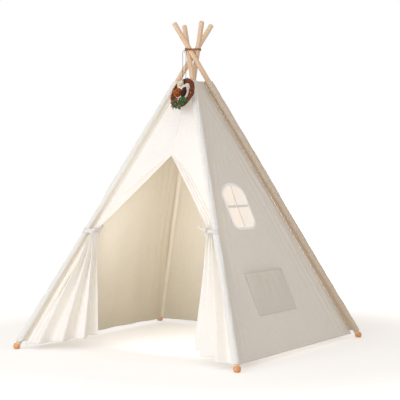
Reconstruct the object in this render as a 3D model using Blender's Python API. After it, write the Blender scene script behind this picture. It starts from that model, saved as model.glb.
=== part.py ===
# Play tent: four lashed pine poles, a sewn cotton cover with a tied-back door,
# a window, a pocket and a small twig wreath hung from the crossing.
# Metres, +Z up, origin on the floor under the crossing of the poles. -Y is the door side.

import math

import bmesh
import bpy
import numpy as np
from mathutils import Matrix, Vector
from mathutils.geometry import tessellate_polygon

# Driving dimensions of the frame
POLE_SPACING = 1.2          # between neighbouring feet
CROSSING_HEIGHT = 1.372     # where the four poles pass each other
POLE_DIAMETER = 0.024
SECTION_LENGTH = 0.595      # each pole is three sections
SECTIONS_PER_POLE = 3
FERRULE_LENGTH = 0.10
FERRULE_WALL = 0.0008
POLE_TIP_ROUNDING = 0.004
SECTION_EDGE = 0.001
GAP = 0.0003                # between neighbouring solids

# Foot caps
CAP_DIAMETER = 0.033
CAP_BALL_RISE = 0.0145      # from the floor point of the axis up to the ball's centre
CAP_BORE_FLOOR = 0.0115     # from the floor point up to the bottom of the bore
CAP_NECK = 0.0045           # straight stretch above the ball's centre
CAP_LIP = 0.0012            # flat rim round the bore
CAP_SHOULDER = 1.6          # rise of the shoulder as a share of its width

# Canvas cover
HEM_HEIGHT = 0.02
COVER_TOP = 1.255
CANVAS = 0.0015             # thickness of a sewn panel
CURTAIN_CLOTH = 0.0012
FLANGE_HEM = 0.033          # pole centre to corner seam, across the corner, at the hem
FLANGE_TOP = 0.0229         # the same at the top of the cover
FLANGE_THICKNESS = 0.003
SLEEVE_CLOTH = 0.0012
SLEEVE_FOOT = 0.036         # height of the sleeve's lower end
SLEEVE_SLACK = 0.0007       # between the sleeve and the widest wood or metal in it

# Door
DOOR_APEX = 0.90            # height of the top of the slit
TIE_HEIGHT = {"left": 0.553, "right": 0.568}
TIE_INWARD = 0.031          # gathered edge, from the corner seam towards the door
TIE_FORWARD = 0.018         # and in front of the seam
FREE_CORNER_HEIGHT = 0.062
FREE_CORNER_INWARD = 0.016  # the free corner, from the tie towards the door
FREE_CORNER_FORWARD = 0.022
EDGE_BOW = 0.014            # sag of the free edge between apex and tie, square to the edge
FOLD_COUNT = 3.5
FOLD_LIMIT = 0.038
FOLD_BAND_START = 0.02      # folds along the free edge, at the apex
EDGE_BAND = 0.03            # they spread by this much within this share of the way to the tie
EDGE_BAND_SHARE = 0.25
EDGE_FOLD = 0.004           # and stand this high until the cloth is gathered
FLAT_LEAST = 0.003          # cloth next to the corner seam that takes no folds
FOLD_ONSET = 5              # the folds reach full depth in one part in this many of their band
GATHER_START, GATHER_SPAN = 0.9, 0.2    # along q, where the folds spread to the whole width
BUNDLE_RADIUS = 0.024
BUNDLE_COLLAR = 0.004       # the bundle keeps its radius this far past the strap
CURTAIN_CLEARANCE = 0.003   # between the curtain's middle surface and the sleeve
BUNDLE_FOLD = 0.010         # height of the folds in it
BUNDLE_CORE = 0.8           # share of the bundle's radius in which the folds keep their place
BUNDLE_FLARE = 1.0          # then widens by this much per metre of height
CURTAIN_CUSHION = 0.008     # the folds are pressed together this close round the sleeve
HEM_BOW = 0.78              # how far the hem follows the front before it turns back

# Rows and columns of the curtain's surface
PLAIN_ROWS, UPPER_ROWS, LOWER_ROWS = 2, 7, 9
FLAT_COLUMNS, FOLD_COLUMNS = 5, 22

# Tie-backs
STRAP_WIDTH = 0.024
STRAP_THICKNESS = 0.0014
STRAP_SLACK = 0.0007
STRAP_START = 5             # degrees round the bundle, 0 faces out of the tent's side
STRAP_END = -265
STRAP_STEPS = 26
KNOT_DIAMETER = 0.018
KNOT_FLATNESS = 0.7
KNOT_TURN = -120            # where the knot sits, in the same degrees
TAIL_WIDTH = 0.010
TAIL_THICKNESS = 0.0014
# Each loose end in the knot's frame: towards -X, out of the strap, up the strap
TAILS = {
    "left": (
        ((0.000, 0.001, -0.003), (-0.004, 0.005, -0.020), (-0.005, 0.004, -0.046)),
        ((0.002, 0.001, -0.003), (0.007, 0.004, -0.017), (0.010, 0.003, -0.030)),
    ),
    "right": (
        ((0.003, 0.001, 0.002), (0.020, 0.008, 0.014), (0.038, 0.012, 0.036)),
        ((0.000, 0.001, -0.003), (-0.001, 0.004, -0.018), (-0.001, 0.003, -0.032)),
    ),
}

# Window, measured along the sloping right panel
WINDOW_WIDTH = 0.196
WINDOW_HEIGHT = 0.212
WINDOW_ARCH = 0.062         # rise of the arched top
WINDOW_CORNER = 0.045
WINDOW_CENTRE_Y = -0.059
WINDOW_CENTRE_HEIGHT = 0.667
BINDING_WIDTH = 0.013
BINDING_THICKNESS = 0.0012
BINDING_OVERLAP = 0.002     # how far the binding reaches over the hole's edge
MUNTIN_WIDTH = 0.009
VOILE_MARGIN = 0.012
VOILE_THICKNESS = 0.0008

# Pocket
POCKET_WIDTH = 0.348
POCKET_HEIGHT = 0.200
POCKET_CENTRE_Y = -0.052
POCKET_FOOT_HEIGHT = 0.186
POCKET_FULLNESS = 0.017     # how far the mouth stands off the panel
POCKET_CLOTH = 0.0012

# Lashing and wreath
LASHING_HEIGHT = 1.405
LASHING_TURNS = 3
LASHING_CORD = 0.0028
LASHING_PITCH = 0.0034
WREATH_DIAMETER = 0.152
WREATH_TUBE = 0.026
WREATH_HEIGHT = 1.176
WREATH_X = 0.032
WREATH_TURN = 9.0           # degrees that the ring is turned about its own upright
WREATH_STAND_OFF = 0.044    # ring centre to the plane of the pole axes behind it
TWINE = 0.0022
LOOP_TURN = 14.0            # degrees from the ring's top to the twine's loop
TWIG_LUMP = 0.06            # every second section of the ring is this share thinner
FLOWER_DIAMETER = 0.044
FLOWER_PLACE = (-0.010, 0.036, 0.0105)      # places are in the wreath's frame
PETALS = 5
PETAL_SCALLOP = 0.1         # share of the radius
CONE_DIAMETER = 0.045
CONE_THICKNESS = 0.024
COPPER_CONE_PLACE = (-0.010, -0.0088, 0.020)
DARK_CONE_LENGTH = 0.050
DARK_CONE_DIAMETER = 0.026
DARK_CONE_PLACE = (0.0256, -0.0088, 0.0145)
SCALE_ROWS = 8              # of a cone
SCALE_STEP = 0.84           # the waist between two rows of scales, as a share of their radius
CONE_FULLNESS = 0.75        # below 1 the cone is widest nearer its base
LEAF_THICKNESS = 0.0012
BERRY_DIAMETER = 0.010
# The leaves of the sprig in the wreath's frame: turn in degrees, length
LEAVES = ((4, 0.062), (54, 0.030), (118, 0.0315), (174, 0.060), (232, 0.046), (306, 0.052))
SPRIG_CENTRE = (0.006, -0.056)
SPRIG_HUB = 0.006
LEAF_BREADTH = 0.42         # share of the leaf's length
# Berries on the leaves
BERRIES = (
    (-0.0238, -0.0529), (-0.0365, -0.0580), (-0.0143, -0.0820), (-0.0040, -0.0680),
    (-0.0040, -0.0470), (0.0090, -0.0540), (0.0300, -0.0500), (0.0310, -0.0810),
)
# The twine's route from the lashing's left, round the ring, to the lashing's front
TWINE_ROUTE = (
    (-0.0443, -0.0030, 1.4050), (-0.0475, -0.0043, 1.4045), (-0.0508, -0.0064, 1.4010),
    (-0.0512, -0.0105, 1.3935), (-0.0470, -0.0180, 1.3820), (-0.0400, -0.0280, 1.3680),
    (-0.0270, -0.0480, 1.3410), (-0.0100, -0.0760, 1.3040), (0.0030, -0.0975, 1.2760),
    (0.0104, -0.1085, 1.2621), (0.0110, -0.1165, 1.2545), (0.0142, -0.1174, 1.2434),
    (0.0179, -0.1100, 1.2353), (0.0201, -0.0986, 1.2350), (0.0194, -0.0899, 1.2426),
    (0.0162, -0.0880, 1.2545), (0.0125, -0.0815, 1.2780), (0.0055, -0.0710, 1.3200),
    (-0.0010, -0.0600, 1.3600), (-0.0045, -0.0548, 1.3850), (-0.0057, -0.0524, 1.3970),
    (-0.0059, -0.0508, 1.4035), (-0.0058, -0.0490, 1.4050), (-0.0057, -0.0473, 1.4050),
)
TWINE_STEPS = 3

CORNERS = {
    "front_left": (-1, -1),
    "front_right": (1, -1),
    "back_right": (1, 1),
    "back_left": (-1, 1),
}

PINE = ("pine", (0.80, 0.60, 0.36), 0.55, 0.0)
FERRULE_METAL = ("ferrule_metal", (0.55, 0.54, 0.52), 0.35, 1.0)
CAP_WOOD = ("cap_wood", (0.72, 0.37, 0.15), 0.5, 0.0)
COTTON = ("cotton_canvas", (0.90, 0.86, 0.80), 0.9, 0.0)
SLEEVE_COTTON = ("sleeve_canvas", (0.86, 0.80, 0.71), 0.9, 0.0)
BINDING_COTTON = ("binding_cotton", (0.93, 0.92, 0.90), 0.85, 0.0)
VOILE = ("voile", (0.93, 0.87, 0.78), 0.85, 0.0)
TWINE_JUTE = ("jute_twine", (0.35, 0.19, 0.08), 0.9, 0.0)
TWIG = ("twig", (0.12, 0.05, 0.03), 0.8, 0.0)
PETAL = ("petal", (0.92, 0.88, 0.72), 0.7, 0.0)
CONE_COPPER = ("cone_copper", (0.55, 0.20, 0.05), 0.6, 0.0)
CONE_DARK = ("cone_dark", (0.07, 0.03, 0.02), 0.7, 0.0)
LEAF = ("holly_leaf", (0.02, 0.16, 0.05), 0.4, 0.0)
BERRY = ("berry", (0.60, 0.02, 0.03), 0.25, 0.0)

POLE_RADIUS = POLE_DIAMETER / 2
HALF_SPACING = POLE_SPACING / 2
ROUND_SIDES = 18


def clear_scene():
    for obj in list(bpy.data.objects):
        bpy.data.objects.remove(obj, do_unlink=True)


def material(look):
    name, colour, roughness, metallic = look
    found = bpy.data.materials.get(name)
    if found:
        return found
    made = bpy.data.materials.new(name)
    made.use_nodes = True
    shader = made.node_tree.nodes["Principled BSDF"]
    shader.inputs["Base Color"].default_value = (*colour, 1.0)
    shader.inputs["Roughness"].default_value = roughness
    shader.inputs["Metallic"].default_value = metallic
    return made


def face_outwards(bm):
    bmesh.ops.recalc_face_normals(bm, faces=bm.faces)
    if bm.calc_volume(signed=True) < 0:
        bmesh.ops.reverse_faces(bm, faces=bm.faces)


def add_object(name, mesh_or_bm, look, smooth=False):
    if isinstance(mesh_or_bm, bmesh.types.BMesh):
        face_outwards(mesh_or_bm)
        mesh = bpy.data.meshes.new(name)
        mesh_or_bm.to_mesh(mesh)
        mesh_or_bm.free()
    else:
        mesh = mesh_or_bm
    if smooth:
        mesh.shade_smooth()
        mesh.set_sharp_from_angle(angle=math.radians(40))
    mesh.materials.append(material(look))
    obj = bpy.data.objects.new(name, mesh)
    bpy.context.scene.collection.objects.link(obj)
    return obj


def add_pivot(name, place):
    pivot = bpy.data.objects.new(name, None)
    pivot.location = place
    pivot.empty_display_size = 0.05
    bpy.context.scene.collection.objects.link(pivot)
    return pivot


def hang_on(pivot, pieces):
    for piece in pieces:
        piece.parent = pivot
        piece.matrix_parent_inverse = Matrix.Translation(pivot.location).inverted()


# Shapes used by several pieces


def skin_rings(bm, rings, close_ends=True):
    """Joins closed rings of points into a tube, end to end."""
    loops = [[bm.verts.new(point) for point in ring] for ring in rings]
    count = len(loops[0])
    for low, high in zip(loops, loops[1:]):
        for i in range(count):
            j = (i + 1) % count
            bm.faces.new((low[i], low[j], high[j], high[i]))
    if close_ends:
        bm.faces.new(list(reversed(loops[0])))
        bm.faces.new(loops[-1])
    return loops


def turned(profile, sides=ROUND_SIDES):
    """A solid of revolution about +Z from (radius, height) points; radius 0 closes it."""
    bm = bmesh.new()
    angles = [2 * math.pi * k / sides for k in range(sides)]
    loops = []
    for radius, height in profile:
        if radius == 0:
            loops.append([bm.verts.new((0, 0, height))])
        else:
            loops.append(
                [bm.verts.new((radius * math.cos(a), radius * math.sin(a), height)) for a in angles]
            )
    for low, high in zip(loops, loops[1:]):
        for i in range(sides):
            j = (i + 1) % sides
            corners = [low[i % len(low)], low[j % len(low)], high[j % len(high)], high[i % len(high)]]
            bm.faces.new(list(dict.fromkeys(corners)))
    if len(loops[0]) > 1 and len(loops[-1]) > 1:
        for i in range(sides):
            j = (i + 1) % sides
            bm.faces.new((loops[-1][i], loops[-1][j], loops[0][j], loops[0][i]))
    return bm


def plate(outline, holes, place, low, high):
    """A flat plate: outlines in its own (u, v), from depth low to high, set by place(u, v, d)."""
    loops = [outline] + holes
    flat = [[Vector((u, v, 0)) for u, v in loop] for loop in loops]
    points = [point for loop in loops for point in loop]
    bm = bmesh.new()
    bottom = [bm.verts.new(place(u, v, low)) for u, v in points]
    top = [bm.verts.new(place(u, v, high)) for u, v in points]
    for a, b, c in tessellate_polygon(flat):
        bm.faces.new((top[a], top[b], top[c]))
        bm.faces.new((bottom[c], bottom[b], bottom[a]))
    start = 0
    for loop in loops:
        count = len(loop)
        for i in range(count):
            a, b = start + i, start + (i + 1) % count
            bm.faces.new((bottom[a], bottom[b], top[b], top[a]))
        start += count
    return bm


def unit(vectors):
    return vectors / np.maximum(np.linalg.norm(vectors, axis=2, keepdims=True), 1e-12)


def sheet_normals(grid):
    """At each point of a grid, halfway between the normals to its left and right, also at a sharp fold."""
    down = unit(np.gradient(grid, axis=0))
    along = unit(np.diff(grid, axis=1))
    left = np.cross(np.concatenate([along[:, :1], along], axis=1), down)
    right = np.cross(np.concatenate([along, along[:, -1:]], axis=1), down)
    return unit(unit(left) + unit(right))


def thick_sheet(grid, thickness):
    """A closed sheet of even thickness about a grid of points, rows x columns x 3."""
    rows, columns, _ = grid.shape
    normals = sheet_normals(grid)
    bm = bmesh.new()
    skins = []
    for side in (0.5, -0.5):
        moved = grid + normals * thickness * side
        skins.append([[bm.verts.new(moved[r, c]) for c in range(columns)] for r in range(rows)])
    front, back = skins
    for r in range(rows - 1):
        for c in range(columns - 1):
            quad = [(r, c), (r + 1, c), (r + 1, c + 1), (r, c + 1)]
            across = [np.linalg.norm(grid[quad[k]] - grid[quad[k + 2]]) for k in (0, 1)]
            if across[0] > across[1]:
                quad = quad[1:] + quad[:1]
            for half in (quad[:3], quad[:1] + quad[2:]):
                bm.faces.new([front[i][j] for i, j in half])
                bm.faces.new([back[i][j] for i, j in reversed(half)])
    border = [(0, c) for c in range(columns)]
    border += [(r, columns - 1) for r in range(1, rows)]
    border += [(rows - 1, c) for c in range(columns - 2, -1, -1)]
    border += [(r, 0) for r in range(rows - 2, 0, -1)]
    for (r0, c0), (r1, c1) in zip(border, border[1:] + border[:1]):
        bm.faces.new((front[r0][c0], front[r1][c1], back[r1][c1], back[r0][c0]))
    return bm


def tube_along(name, points, diameter, look, resolution=2):
    """A round cord through the points, with flat ends."""
    curve = bpy.data.curves.new(name, "CURVE")
    curve.dimensions = "3D"
    curve.bevel_depth = diameter / 2
    curve.bevel_resolution = resolution
    curve.use_fill_caps = True
    spline = curve.splines.new("POLY")
    spline.points.add(len(points) - 1)
    for slot, point in zip(spline.points, points):
        slot.co = (*point, 1.0)
    curve.materials.append(material(look))
    obj = bpy.data.objects.new(name, curve)
    bpy.context.scene.collection.objects.link(obj)
    return obj


def smooth_path(points, per_span):
    """Points along a Catmull-Rom curve through the given points."""
    pts = [Vector(p) for p in points]
    pts = [pts[0] * 2 - pts[1]] + pts + [pts[-1] * 2 - pts[-2]]
    path = []
    for i in range(1, len(pts) - 2):
        a, b, c, d = pts[i - 1 : i + 3]
        for k in range(per_span):
            t = k / per_span
            path.append(
                0.5 * (2 * b + (c - a) * t + (2 * a - 5 * b + 4 * c - d) * t**2
                       + (3 * b - a - 3 * c + d) * t**3)
            )
    path.append(pts[-2])
    return path


# Where the poles run


def line_distance(a, u, b, v):
    cross = u.cross(v)
    return abs((b - a).dot(cross)) / cross.length


def foot_point(corner):
    sx, sy = CORNERS[corner]
    return Vector((sx * HALF_SPACING, sy * HALF_SPACING, 0))


def crossing_point(corner, offset):
    """Each pole passes the middle at this side distance, always to its own left."""
    sx, sy = CORNERS[corner]
    bearing = math.atan2(sy, sx)
    return Vector((offset * math.sin(bearing), -offset * math.cos(bearing), CROSSING_HEIGHT))


def crossing_offset():
    """The side distance at which neighbouring poles just clear each other."""
    offset = POLE_RADIUS
    for _ in range(12):
        lines = []
        for corner in ("front_left", "front_right"):
            start = crossing_point(corner, offset)
            lines.append((start, (start - foot_point(corner)).normalized()))
        spacing = line_distance(lines[0][0], lines[0][1], lines[1][0], lines[1][1])
        offset *= (POLE_DIAMETER + GAP) / spacing
    return offset


CROSSING_OFFSET = crossing_offset()


def pole_direction(corner):
    return (crossing_point(corner, CROSSING_OFFSET) - foot_point(corner)).normalized()


def pole_at_height(corner, height):
    start = foot_point(corner)
    along = pole_direction(corner)
    return start + along * (height / along.z)


def pole_frame(corner, distance):
    """A matrix with +Z along the pole, at this distance from its floor point."""
    along = pole_direction(corner)
    turn = along.to_track_quat("Z", "Y").to_matrix().to_4x4()
    return Matrix.Translation(foot_point(corner) + along * distance) @ turn


# Wood frame

POLE_START = CAP_BORE_FLOOR + GAP
FERRULE_OUTER = POLE_RADIUS + GAP + FERRULE_WALL
SLEEVE_INNER = FERRULE_OUTER + SLEEVE_SLACK
SLEEVE_OUTER = SLEEVE_INNER + SLEEVE_CLOTH


def section_start(index):
    return POLE_START + index * (SECTION_LENGTH + GAP)


def add_pole_section(corner, index):
    last = index == SECTIONS_PER_POLE - 1
    rounding = POLE_TIP_ROUNDING if last else SECTION_EDGE
    r, length = POLE_RADIUS, SECTION_LENGTH
    profile = [(0, 0), (r - SECTION_EDGE, 0), (r, SECTION_EDGE)]
    for step in range(4 if last else 2):
        angle = math.pi / 2 * step / (3 if last else 1)
        radius = r - rounding + rounding * math.cos(angle)
        profile.append((radius, length - rounding + rounding * math.sin(angle)))
    profile.append((0, length))
    bm = turned(profile)
    bm.transform(pole_frame(corner, section_start(index)))
    place = {0: "lower", 1: "middle", 2: "top"}.get(index, "section_%d" % index)
    return add_object("pole_%s_%s" % (corner, place), bm, PINE, smooth=True)


def add_ferrule(corner, index):
    inner = POLE_RADIUS + GAP
    half = FERRULE_LENGTH / 2
    profile = [(inner, -half), (FERRULE_OUTER, -half), (FERRULE_OUTER, half), (inner, half)]
    bm = turned(profile)
    joint_at = section_start(index + 1) - GAP / 2
    bm.transform(pole_frame(corner, joint_at))
    place = {0: "lower", 1: "upper"}.get(index, "joint_%d" % index)
    return add_object("ferrule_%s_%s" % (corner, place), bm, FERRULE_METAL, smooth=True)


def add_foot_cap(corner):
    radius = CAP_DIAMETER / 2
    bore = POLE_RADIUS + GAP
    profile = [(0, CAP_BALL_RISE - radius)]
    for step in range(1, 6):
        angle = math.pi / 2 * (step / 5 - 1)
        profile.append((radius * math.cos(angle), CAP_BALL_RISE + radius * math.sin(angle)))
    neck = CAP_BALL_RISE + CAP_NECK
    rim = bore + CAP_LIP
    for step in range(0, 4):
        angle = math.pi / 2 * step / 3
        reach = rim + (radius - rim) * math.cos(angle)
        profile.append((reach, neck + (radius - rim) * CAP_SHOULDER * math.sin(angle)))
    top = profile[-1][1]
    profile += [(bore, top), (bore, CAP_BORE_FLOOR), (0, CAP_BORE_FLOOR)]
    bm = turned(profile)
    bm.transform(pole_frame(corner, 0))
    everything = bm.verts[:] + bm.edges[:] + bm.faces[:]
    cut = bmesh.ops.bisect_plane(
        bm, geom=everything, plane_co=(0, 0, 0), plane_no=(0, 0, -1), clear_outer=True
    )
    rim_edges = [item for item in cut["geom_cut"] if isinstance(item, bmesh.types.BMEdge)]
    bmesh.ops.holes_fill(bm, edges=rim_edges)
    return add_object("foot_cap_%s" % corner, bm, CAP_WOOD, smooth=True)


# Canvas cover


def cover_half(height):
    """Half the width of the cover's outer faces at this height."""
    part = (height - HEM_HEIGHT) / (COVER_TOP - HEM_HEIGHT)
    ends = []
    for level, flange in ((HEM_HEIGHT, FLANGE_HEM), (COVER_TOP, FLANGE_TOP)):
        pole_half = HALF_SPACING * (1 - level / CROSSING_HEIGHT)
        ends.append(pole_half - flange / math.sqrt(2))
    return ends[0] + (ends[1] - ends[0]) * part


PANEL_INSET = CANVAS + GAP
COVER_LEAN = math.atan((cover_half(HEM_HEIGHT) - cover_half(COVER_TOP)) / (COVER_TOP - HEM_HEIGHT))


def side_place(side):
    """Maps (across, up, depth) to a cover face: across runs along the hem, up is a height."""
    nx, ny = {"left": (-1, 0), "right": (1, 0), "back": (0, 1), "front": (0, -1)}[side]
    normal = Vector((nx * math.cos(COVER_LEAN), ny * math.cos(COVER_LEAN), math.sin(COVER_LEAN)))
    across = Vector((abs(ny), abs(nx), 0))

    def place(u, v, depth):
        half = cover_half(v)
        return Vector((nx * half, ny * half, v)) + across * u + normal * depth

    return place


def panel_outline():
    low = cover_half(HEM_HEIGHT) - PANEL_INSET
    high = cover_half(COVER_TOP) - PANEL_INSET
    return [(-low, HEM_HEIGHT), (low, HEM_HEIGHT), (high, COVER_TOP), (-high, COVER_TOP)]


def window_outline(grow):
    """The arched window with rounded lower corners, grown outwards by this much."""
    rise = math.cos(COVER_LEAN)
    half = WINDOW_WIDTH / 2 + grow
    low = -WINDOW_HEIGHT / 2 - grow
    high = WINDOW_HEIGHT / 2 + grow
    corner = WINDOW_CORNER + grow
    spring = high - WINDOW_ARCH - grow
    points = []
    for step in range(6):
        angle = math.pi + math.pi / 2 * step / 5
        points.append((-half + corner + corner * math.cos(angle), low + corner + corner * math.sin(angle)))
    for step in range(6):
        angle = -math.pi / 2 + math.pi / 2 * step / 5
        points.append((half - corner + corner * math.cos(angle), low + corner + corner * math.sin(angle)))
    for step in range(13):
        angle = math.pi * step / 12
        points.append((half * math.cos(angle), spring + (high - spring) * math.sin(angle)))
    return [(WINDOW_CENTRE_Y + u, WINDOW_CENTRE_HEIGHT + v * rise) for u, v in points]


def add_panel(side):
    holes = [window_outline(0)] if side == "right" else []
    bm = plate(panel_outline(), holes, side_place(side), -CANVAS, 0)
    return add_object("%s_panel" % side, bm, COTTON)


def add_sleeve(corner):
    """A cloth channel round the pole with a flat flange that ends at the corner seam."""
    sx, sy = CORNERS[corner]
    along = pole_direction(corner)
    lean = Vector((along.x, along.y, 0)).normalized()
    across = Vector((-lean.y, lean.x, 0))
    stretch = 1 / along.z
    inner, outer = SLEEVE_INNER, SLEEVE_OUTER
    around, levels = 16, 6
    rings_outer, rings_inner = [], []
    for height in np.linspace(SLEEVE_FOOT, COVER_TOP, levels):
        centre = pole_at_height(corner, height)
        half = cover_half(height)
        seam = Vector((sx * half, sy * half, height))
        flange = (seam - centre).normalized()
        side = Vector((-flange.y, flange.x, 0))
        facing = math.atan2(flange.dot(across), flange.dot(lean))
        spread = math.asin(FLANGE_THICKNESS / 2 / outer)

        def rim(radius, angle):
            return centre + lean * (radius * stretch * math.cos(angle)) + across * (radius * math.sin(angle))

        ring_out, ring_in = [], []
        for step in range(around):
            angle = facing + spread + (2 * math.pi - 2 * spread) * step / (around - 1)
            ring_out.append(rim(outer, angle))
            ring_in.append(rim(inner, angle))
        for sign in (-1, 1):
            ring_out.append(seam + side * (sign * FLANGE_THICKNESS / 2))
            ring_in.append(rim(inner, facing + sign * spread / 3))
        rings_outer.append(ring_out)
        rings_inner.append(ring_in)
    bm = bmesh.new()
    outside = skin_rings(bm, rings_outer, close_ends=False)
    inside = skin_rings(bm, rings_inner, close_ends=False)
    for level in (0, levels - 1):
        count = len(outside[level])
        for i in range(count):
            j = (i + 1) % count
            bm.faces.new((outside[level][i], outside[level][j], inside[level][j], inside[level][i]))
    return add_object("sleeve_%s" % corner, bm, SLEEVE_COTTON)


# Window and pocket on the right panel


def add_window_binding():
    outer = window_outline(BINDING_WIDTH - BINDING_OVERLAP)
    inner = window_outline(-BINDING_OVERLAP)
    bm = plate(outer, [inner], side_place("right"), GAP, GAP + BINDING_THICKNESS)
    return add_object("window_binding", bm, BINDING_COTTON)


def add_window_muntins():
    """A cross of two canvas strips in the hole, ending just short of its edge."""
    rise = math.cos(COVER_LEAN)
    half = MUNTIN_WIDTH / 2
    reach = WINDOW_WIDTH / 2 - GAP
    low = -WINDOW_HEIGHT / 2 + GAP
    high = WINDOW_HEIGHT / 2 - GAP
    edge_drop = WINDOW_ARCH * (1 - math.sqrt(1 - (half / reach) ** 2))
    outline = [
        (-half, low), (half, low), (half, -half), (reach, -half), (reach, half), (half, half),
        (half, high - edge_drop), (-half, high - edge_drop), (-half, half), (-reach, half),
        (-reach, -half), (-half, -half),
    ]
    placed = [(WINDOW_CENTRE_Y + u, WINDOW_CENTRE_HEIGHT + v * rise) for u, v in outline]
    bm = plate(placed, [], side_place("right"), -CANVAS, 0)
    return add_object("window_muntins", bm, COTTON)


def add_window_voile():
    bm = plate(
        window_outline(VOILE_MARGIN), [], side_place("right"),
        -CANVAS - GAP - VOILE_THICKNESS, -CANVAS - GAP,
    )
    return add_object("window_voile", bm, VOILE)


def add_pocket():
    """A patch sewn down on three sides whose open top stands off the panel."""
    place = side_place("right")
    rise = math.cos(COVER_LEAN)
    rows, columns = 7, 15
    seated = GAP + POCKET_CLOTH / 2
    grid = np.zeros((rows, columns, 3))
    for r in range(rows):
        up = 1 - r / (rows - 1)
        for c in range(columns):
            side = 2 * c / (columns - 1) - 1
            fullness = POCKET_FULLNESS * math.sin(math.pi / 2 * up) * (1 - side**4) ** 0.5
            u = POCKET_CENTRE_Y + side * POCKET_WIDTH / 2
            v = POCKET_FOOT_HEIGHT + up * POCKET_HEIGHT * rise
            grid[r, c] = place(u, v, seated + fullness)
    return add_object("pocket", thick_sheet(grid, POCKET_CLOTH), COTTON)


# Front curtains


def lerp(a, b, t):
    return a + (b - a) * t


def smoothstep(t):
    t = min(max(t, 0.0), 1.0)
    return t * t * (3 - 2 * t)


def seam_point(height):
    half = cover_half(height)
    return np.array([half - PANEL_INSET, -half + CANVAS / 2, height])


def tie_point(side):
    half = cover_half(TIE_HEIGHT[side])
    return np.array([half - TIE_INWARD, -half - TIE_FORWARD, TIE_HEIGHT[side]])


def free_edge_point(side, q):
    """The door edge: q runs from 0 at the apex through 1 at the tie to 2 at the hem."""
    apex = np.array([GAP, -cover_half(DOOR_APEX) + CANVAS / 2, DOOR_APEX])
    tie = tie_point(side)
    if q <= 1:
        sag = EDGE_BOW * math.sin(math.pi * q)
        return lerp(apex, tie, q) + np.array([sag, 0, -sag]) / math.sqrt(2)
    hem = np.array([tie[0] - FREE_CORNER_INWARD, tie[1] - FREE_CORNER_FORWARD, FREE_CORNER_HEIGHT])
    return lerp(tie, hem, q - 1)


def fold_height(run, cloth, folds):
    """The height of even sine folds that take up this cloth in this run."""
    if cloth <= run * 1.0001:
        return 0.0
    phase = np.linspace(0, 2 * math.pi * folds, 400)
    step = run / (len(phase) - 1)
    low, high = 0.0, FOLD_LIMIT * 3
    for _ in range(40):
        middle = (low + high) / 2
        rises = np.diff(middle * np.sin(phase))
        if np.sum(np.hypot(step, rises)) < cloth:
            low = middle
        else:
            high = middle
    return low


def draw_in(side, point):
    """Keeps a point near the tie inside the gathered bundle, which flares above and below."""
    tie_z = TIE_HEIGHT[side]
    middle = (tie_point(side) + seam_point(tie_z)) / 2
    middle += seam_point(point[2]) - seam_point(tie_z)
    beyond = max(0.0, abs(point[2] - tie_z) - STRAP_WIDTH / 2 - BUNDLE_COLLAR)
    allowed = BUNDLE_RADIUS - CURTAIN_CLOTH + BUNDLE_FLARE * beyond
    core = BUNDLE_CORE * allowed
    point = point.copy()
    away = (point - middle)[:2]
    distance = np.linalg.norm(away)
    if distance > core:
        squeezed = allowed - (allowed - core) * math.exp((core - distance) / (allowed - core))
        point[:2] = middle[:2] + away * (squeezed / distance)
    sign = -1 if side == "left" else 1
    pole = pole_at_height("front_%s" % side, point[2])
    away = point[:2] - np.array([sign * pole.x, pole.y])
    distance = np.linalg.norm(away)
    clear = SLEEVE_OUTER / pole_direction("front_%s" % side).z + CURTAIN_CLEARANCE
    reach = clear + CURTAIN_CUSHION
    if distance < reach:
        point[:2] += away * ((clear + CURTAIN_CUSHION * distance / reach) / distance - 1)
    return point


def curtain_row(side, q):
    """One row of the curtain, from the corner seam to the free edge."""
    tie_z = TIE_HEIGHT[side]
    seam_z = lerp(DOOR_APEX, tie_z, q) if q <= 1 else lerp(tie_z, HEM_HEIGHT, q - 1)
    start, end = seam_point(seam_z), free_edge_point(side, q)
    bow = HEM_BOW * smoothstep(q - 1)
    control = (start + end) / 2
    control[0] = lerp(control[0], lerp(start[0], end[0], HEM_BOW), bow)
    control[1] = lerp(control[1], start[1], bow)
    fine = np.linspace(0, 1, 200)[:, None]
    base = start * (1 - fine) ** 2 + control * 2 * fine * (1 - fine) + end * fine**2
    lengths = np.concatenate([[0], np.cumsum(np.linalg.norm(np.diff(base, axis=0), axis=1))])
    span = lengths[-1]
    cut_z = lerp(DOOR_APEX, HEM_HEIGHT, q / 2)
    cloth = max(math.hypot(cover_half(seam_z), (seam_z - cut_z) / math.cos(COVER_LEAN)), span)
    gathered = smoothstep((q - GATHER_START) / GATHER_SPAN)
    band = FOLD_BAND_START + EDGE_BAND * smoothstep(q / EDGE_BAND_SHARE)
    band = min(lerp(band, span, gathered), span - FLAT_LEAST)
    beyond = max(0.0, abs(seam_z - tie_z) - STRAP_WIDTH / 2 - BUNDLE_COLLAR)
    limit = min(lerp(EDGE_FOLD, FOLD_LIMIT, gathered), BUNDLE_FOLD + BUNDLE_FLARE * beyond)
    height = min(fold_height(band, band + cloth - span, FOLD_COUNT), limit)
    places = np.concatenate([
        np.linspace(0, span - band, FLAT_COLUMNS, endpoint=False),
        np.linspace(span - band, span, FOLD_COLUMNS),
    ])
    row = []
    for place in places:
        behind, point, ahead = (
            np.array([np.interp(spot, lengths, base[:, k]) for k in range(3)])
            for spot in (place - 1e-3, place, place + 1e-3)
        )
        run = (ahead - behind)[:2] / np.linalg.norm((ahead - behind)[:2])
        outward = np.array([run[1], -run[0], 0.0])
        if outward[1] > 0:
            outward = -outward
        into = max(0.0, place - (span - band)) / max(band, 1e-9)
        swing = -height * smoothstep(into * FOLD_ONSET) * math.sin(2 * math.pi * FOLD_COUNT * into)
        row.append(draw_in(side, point + outward * swing))
    return row


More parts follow.
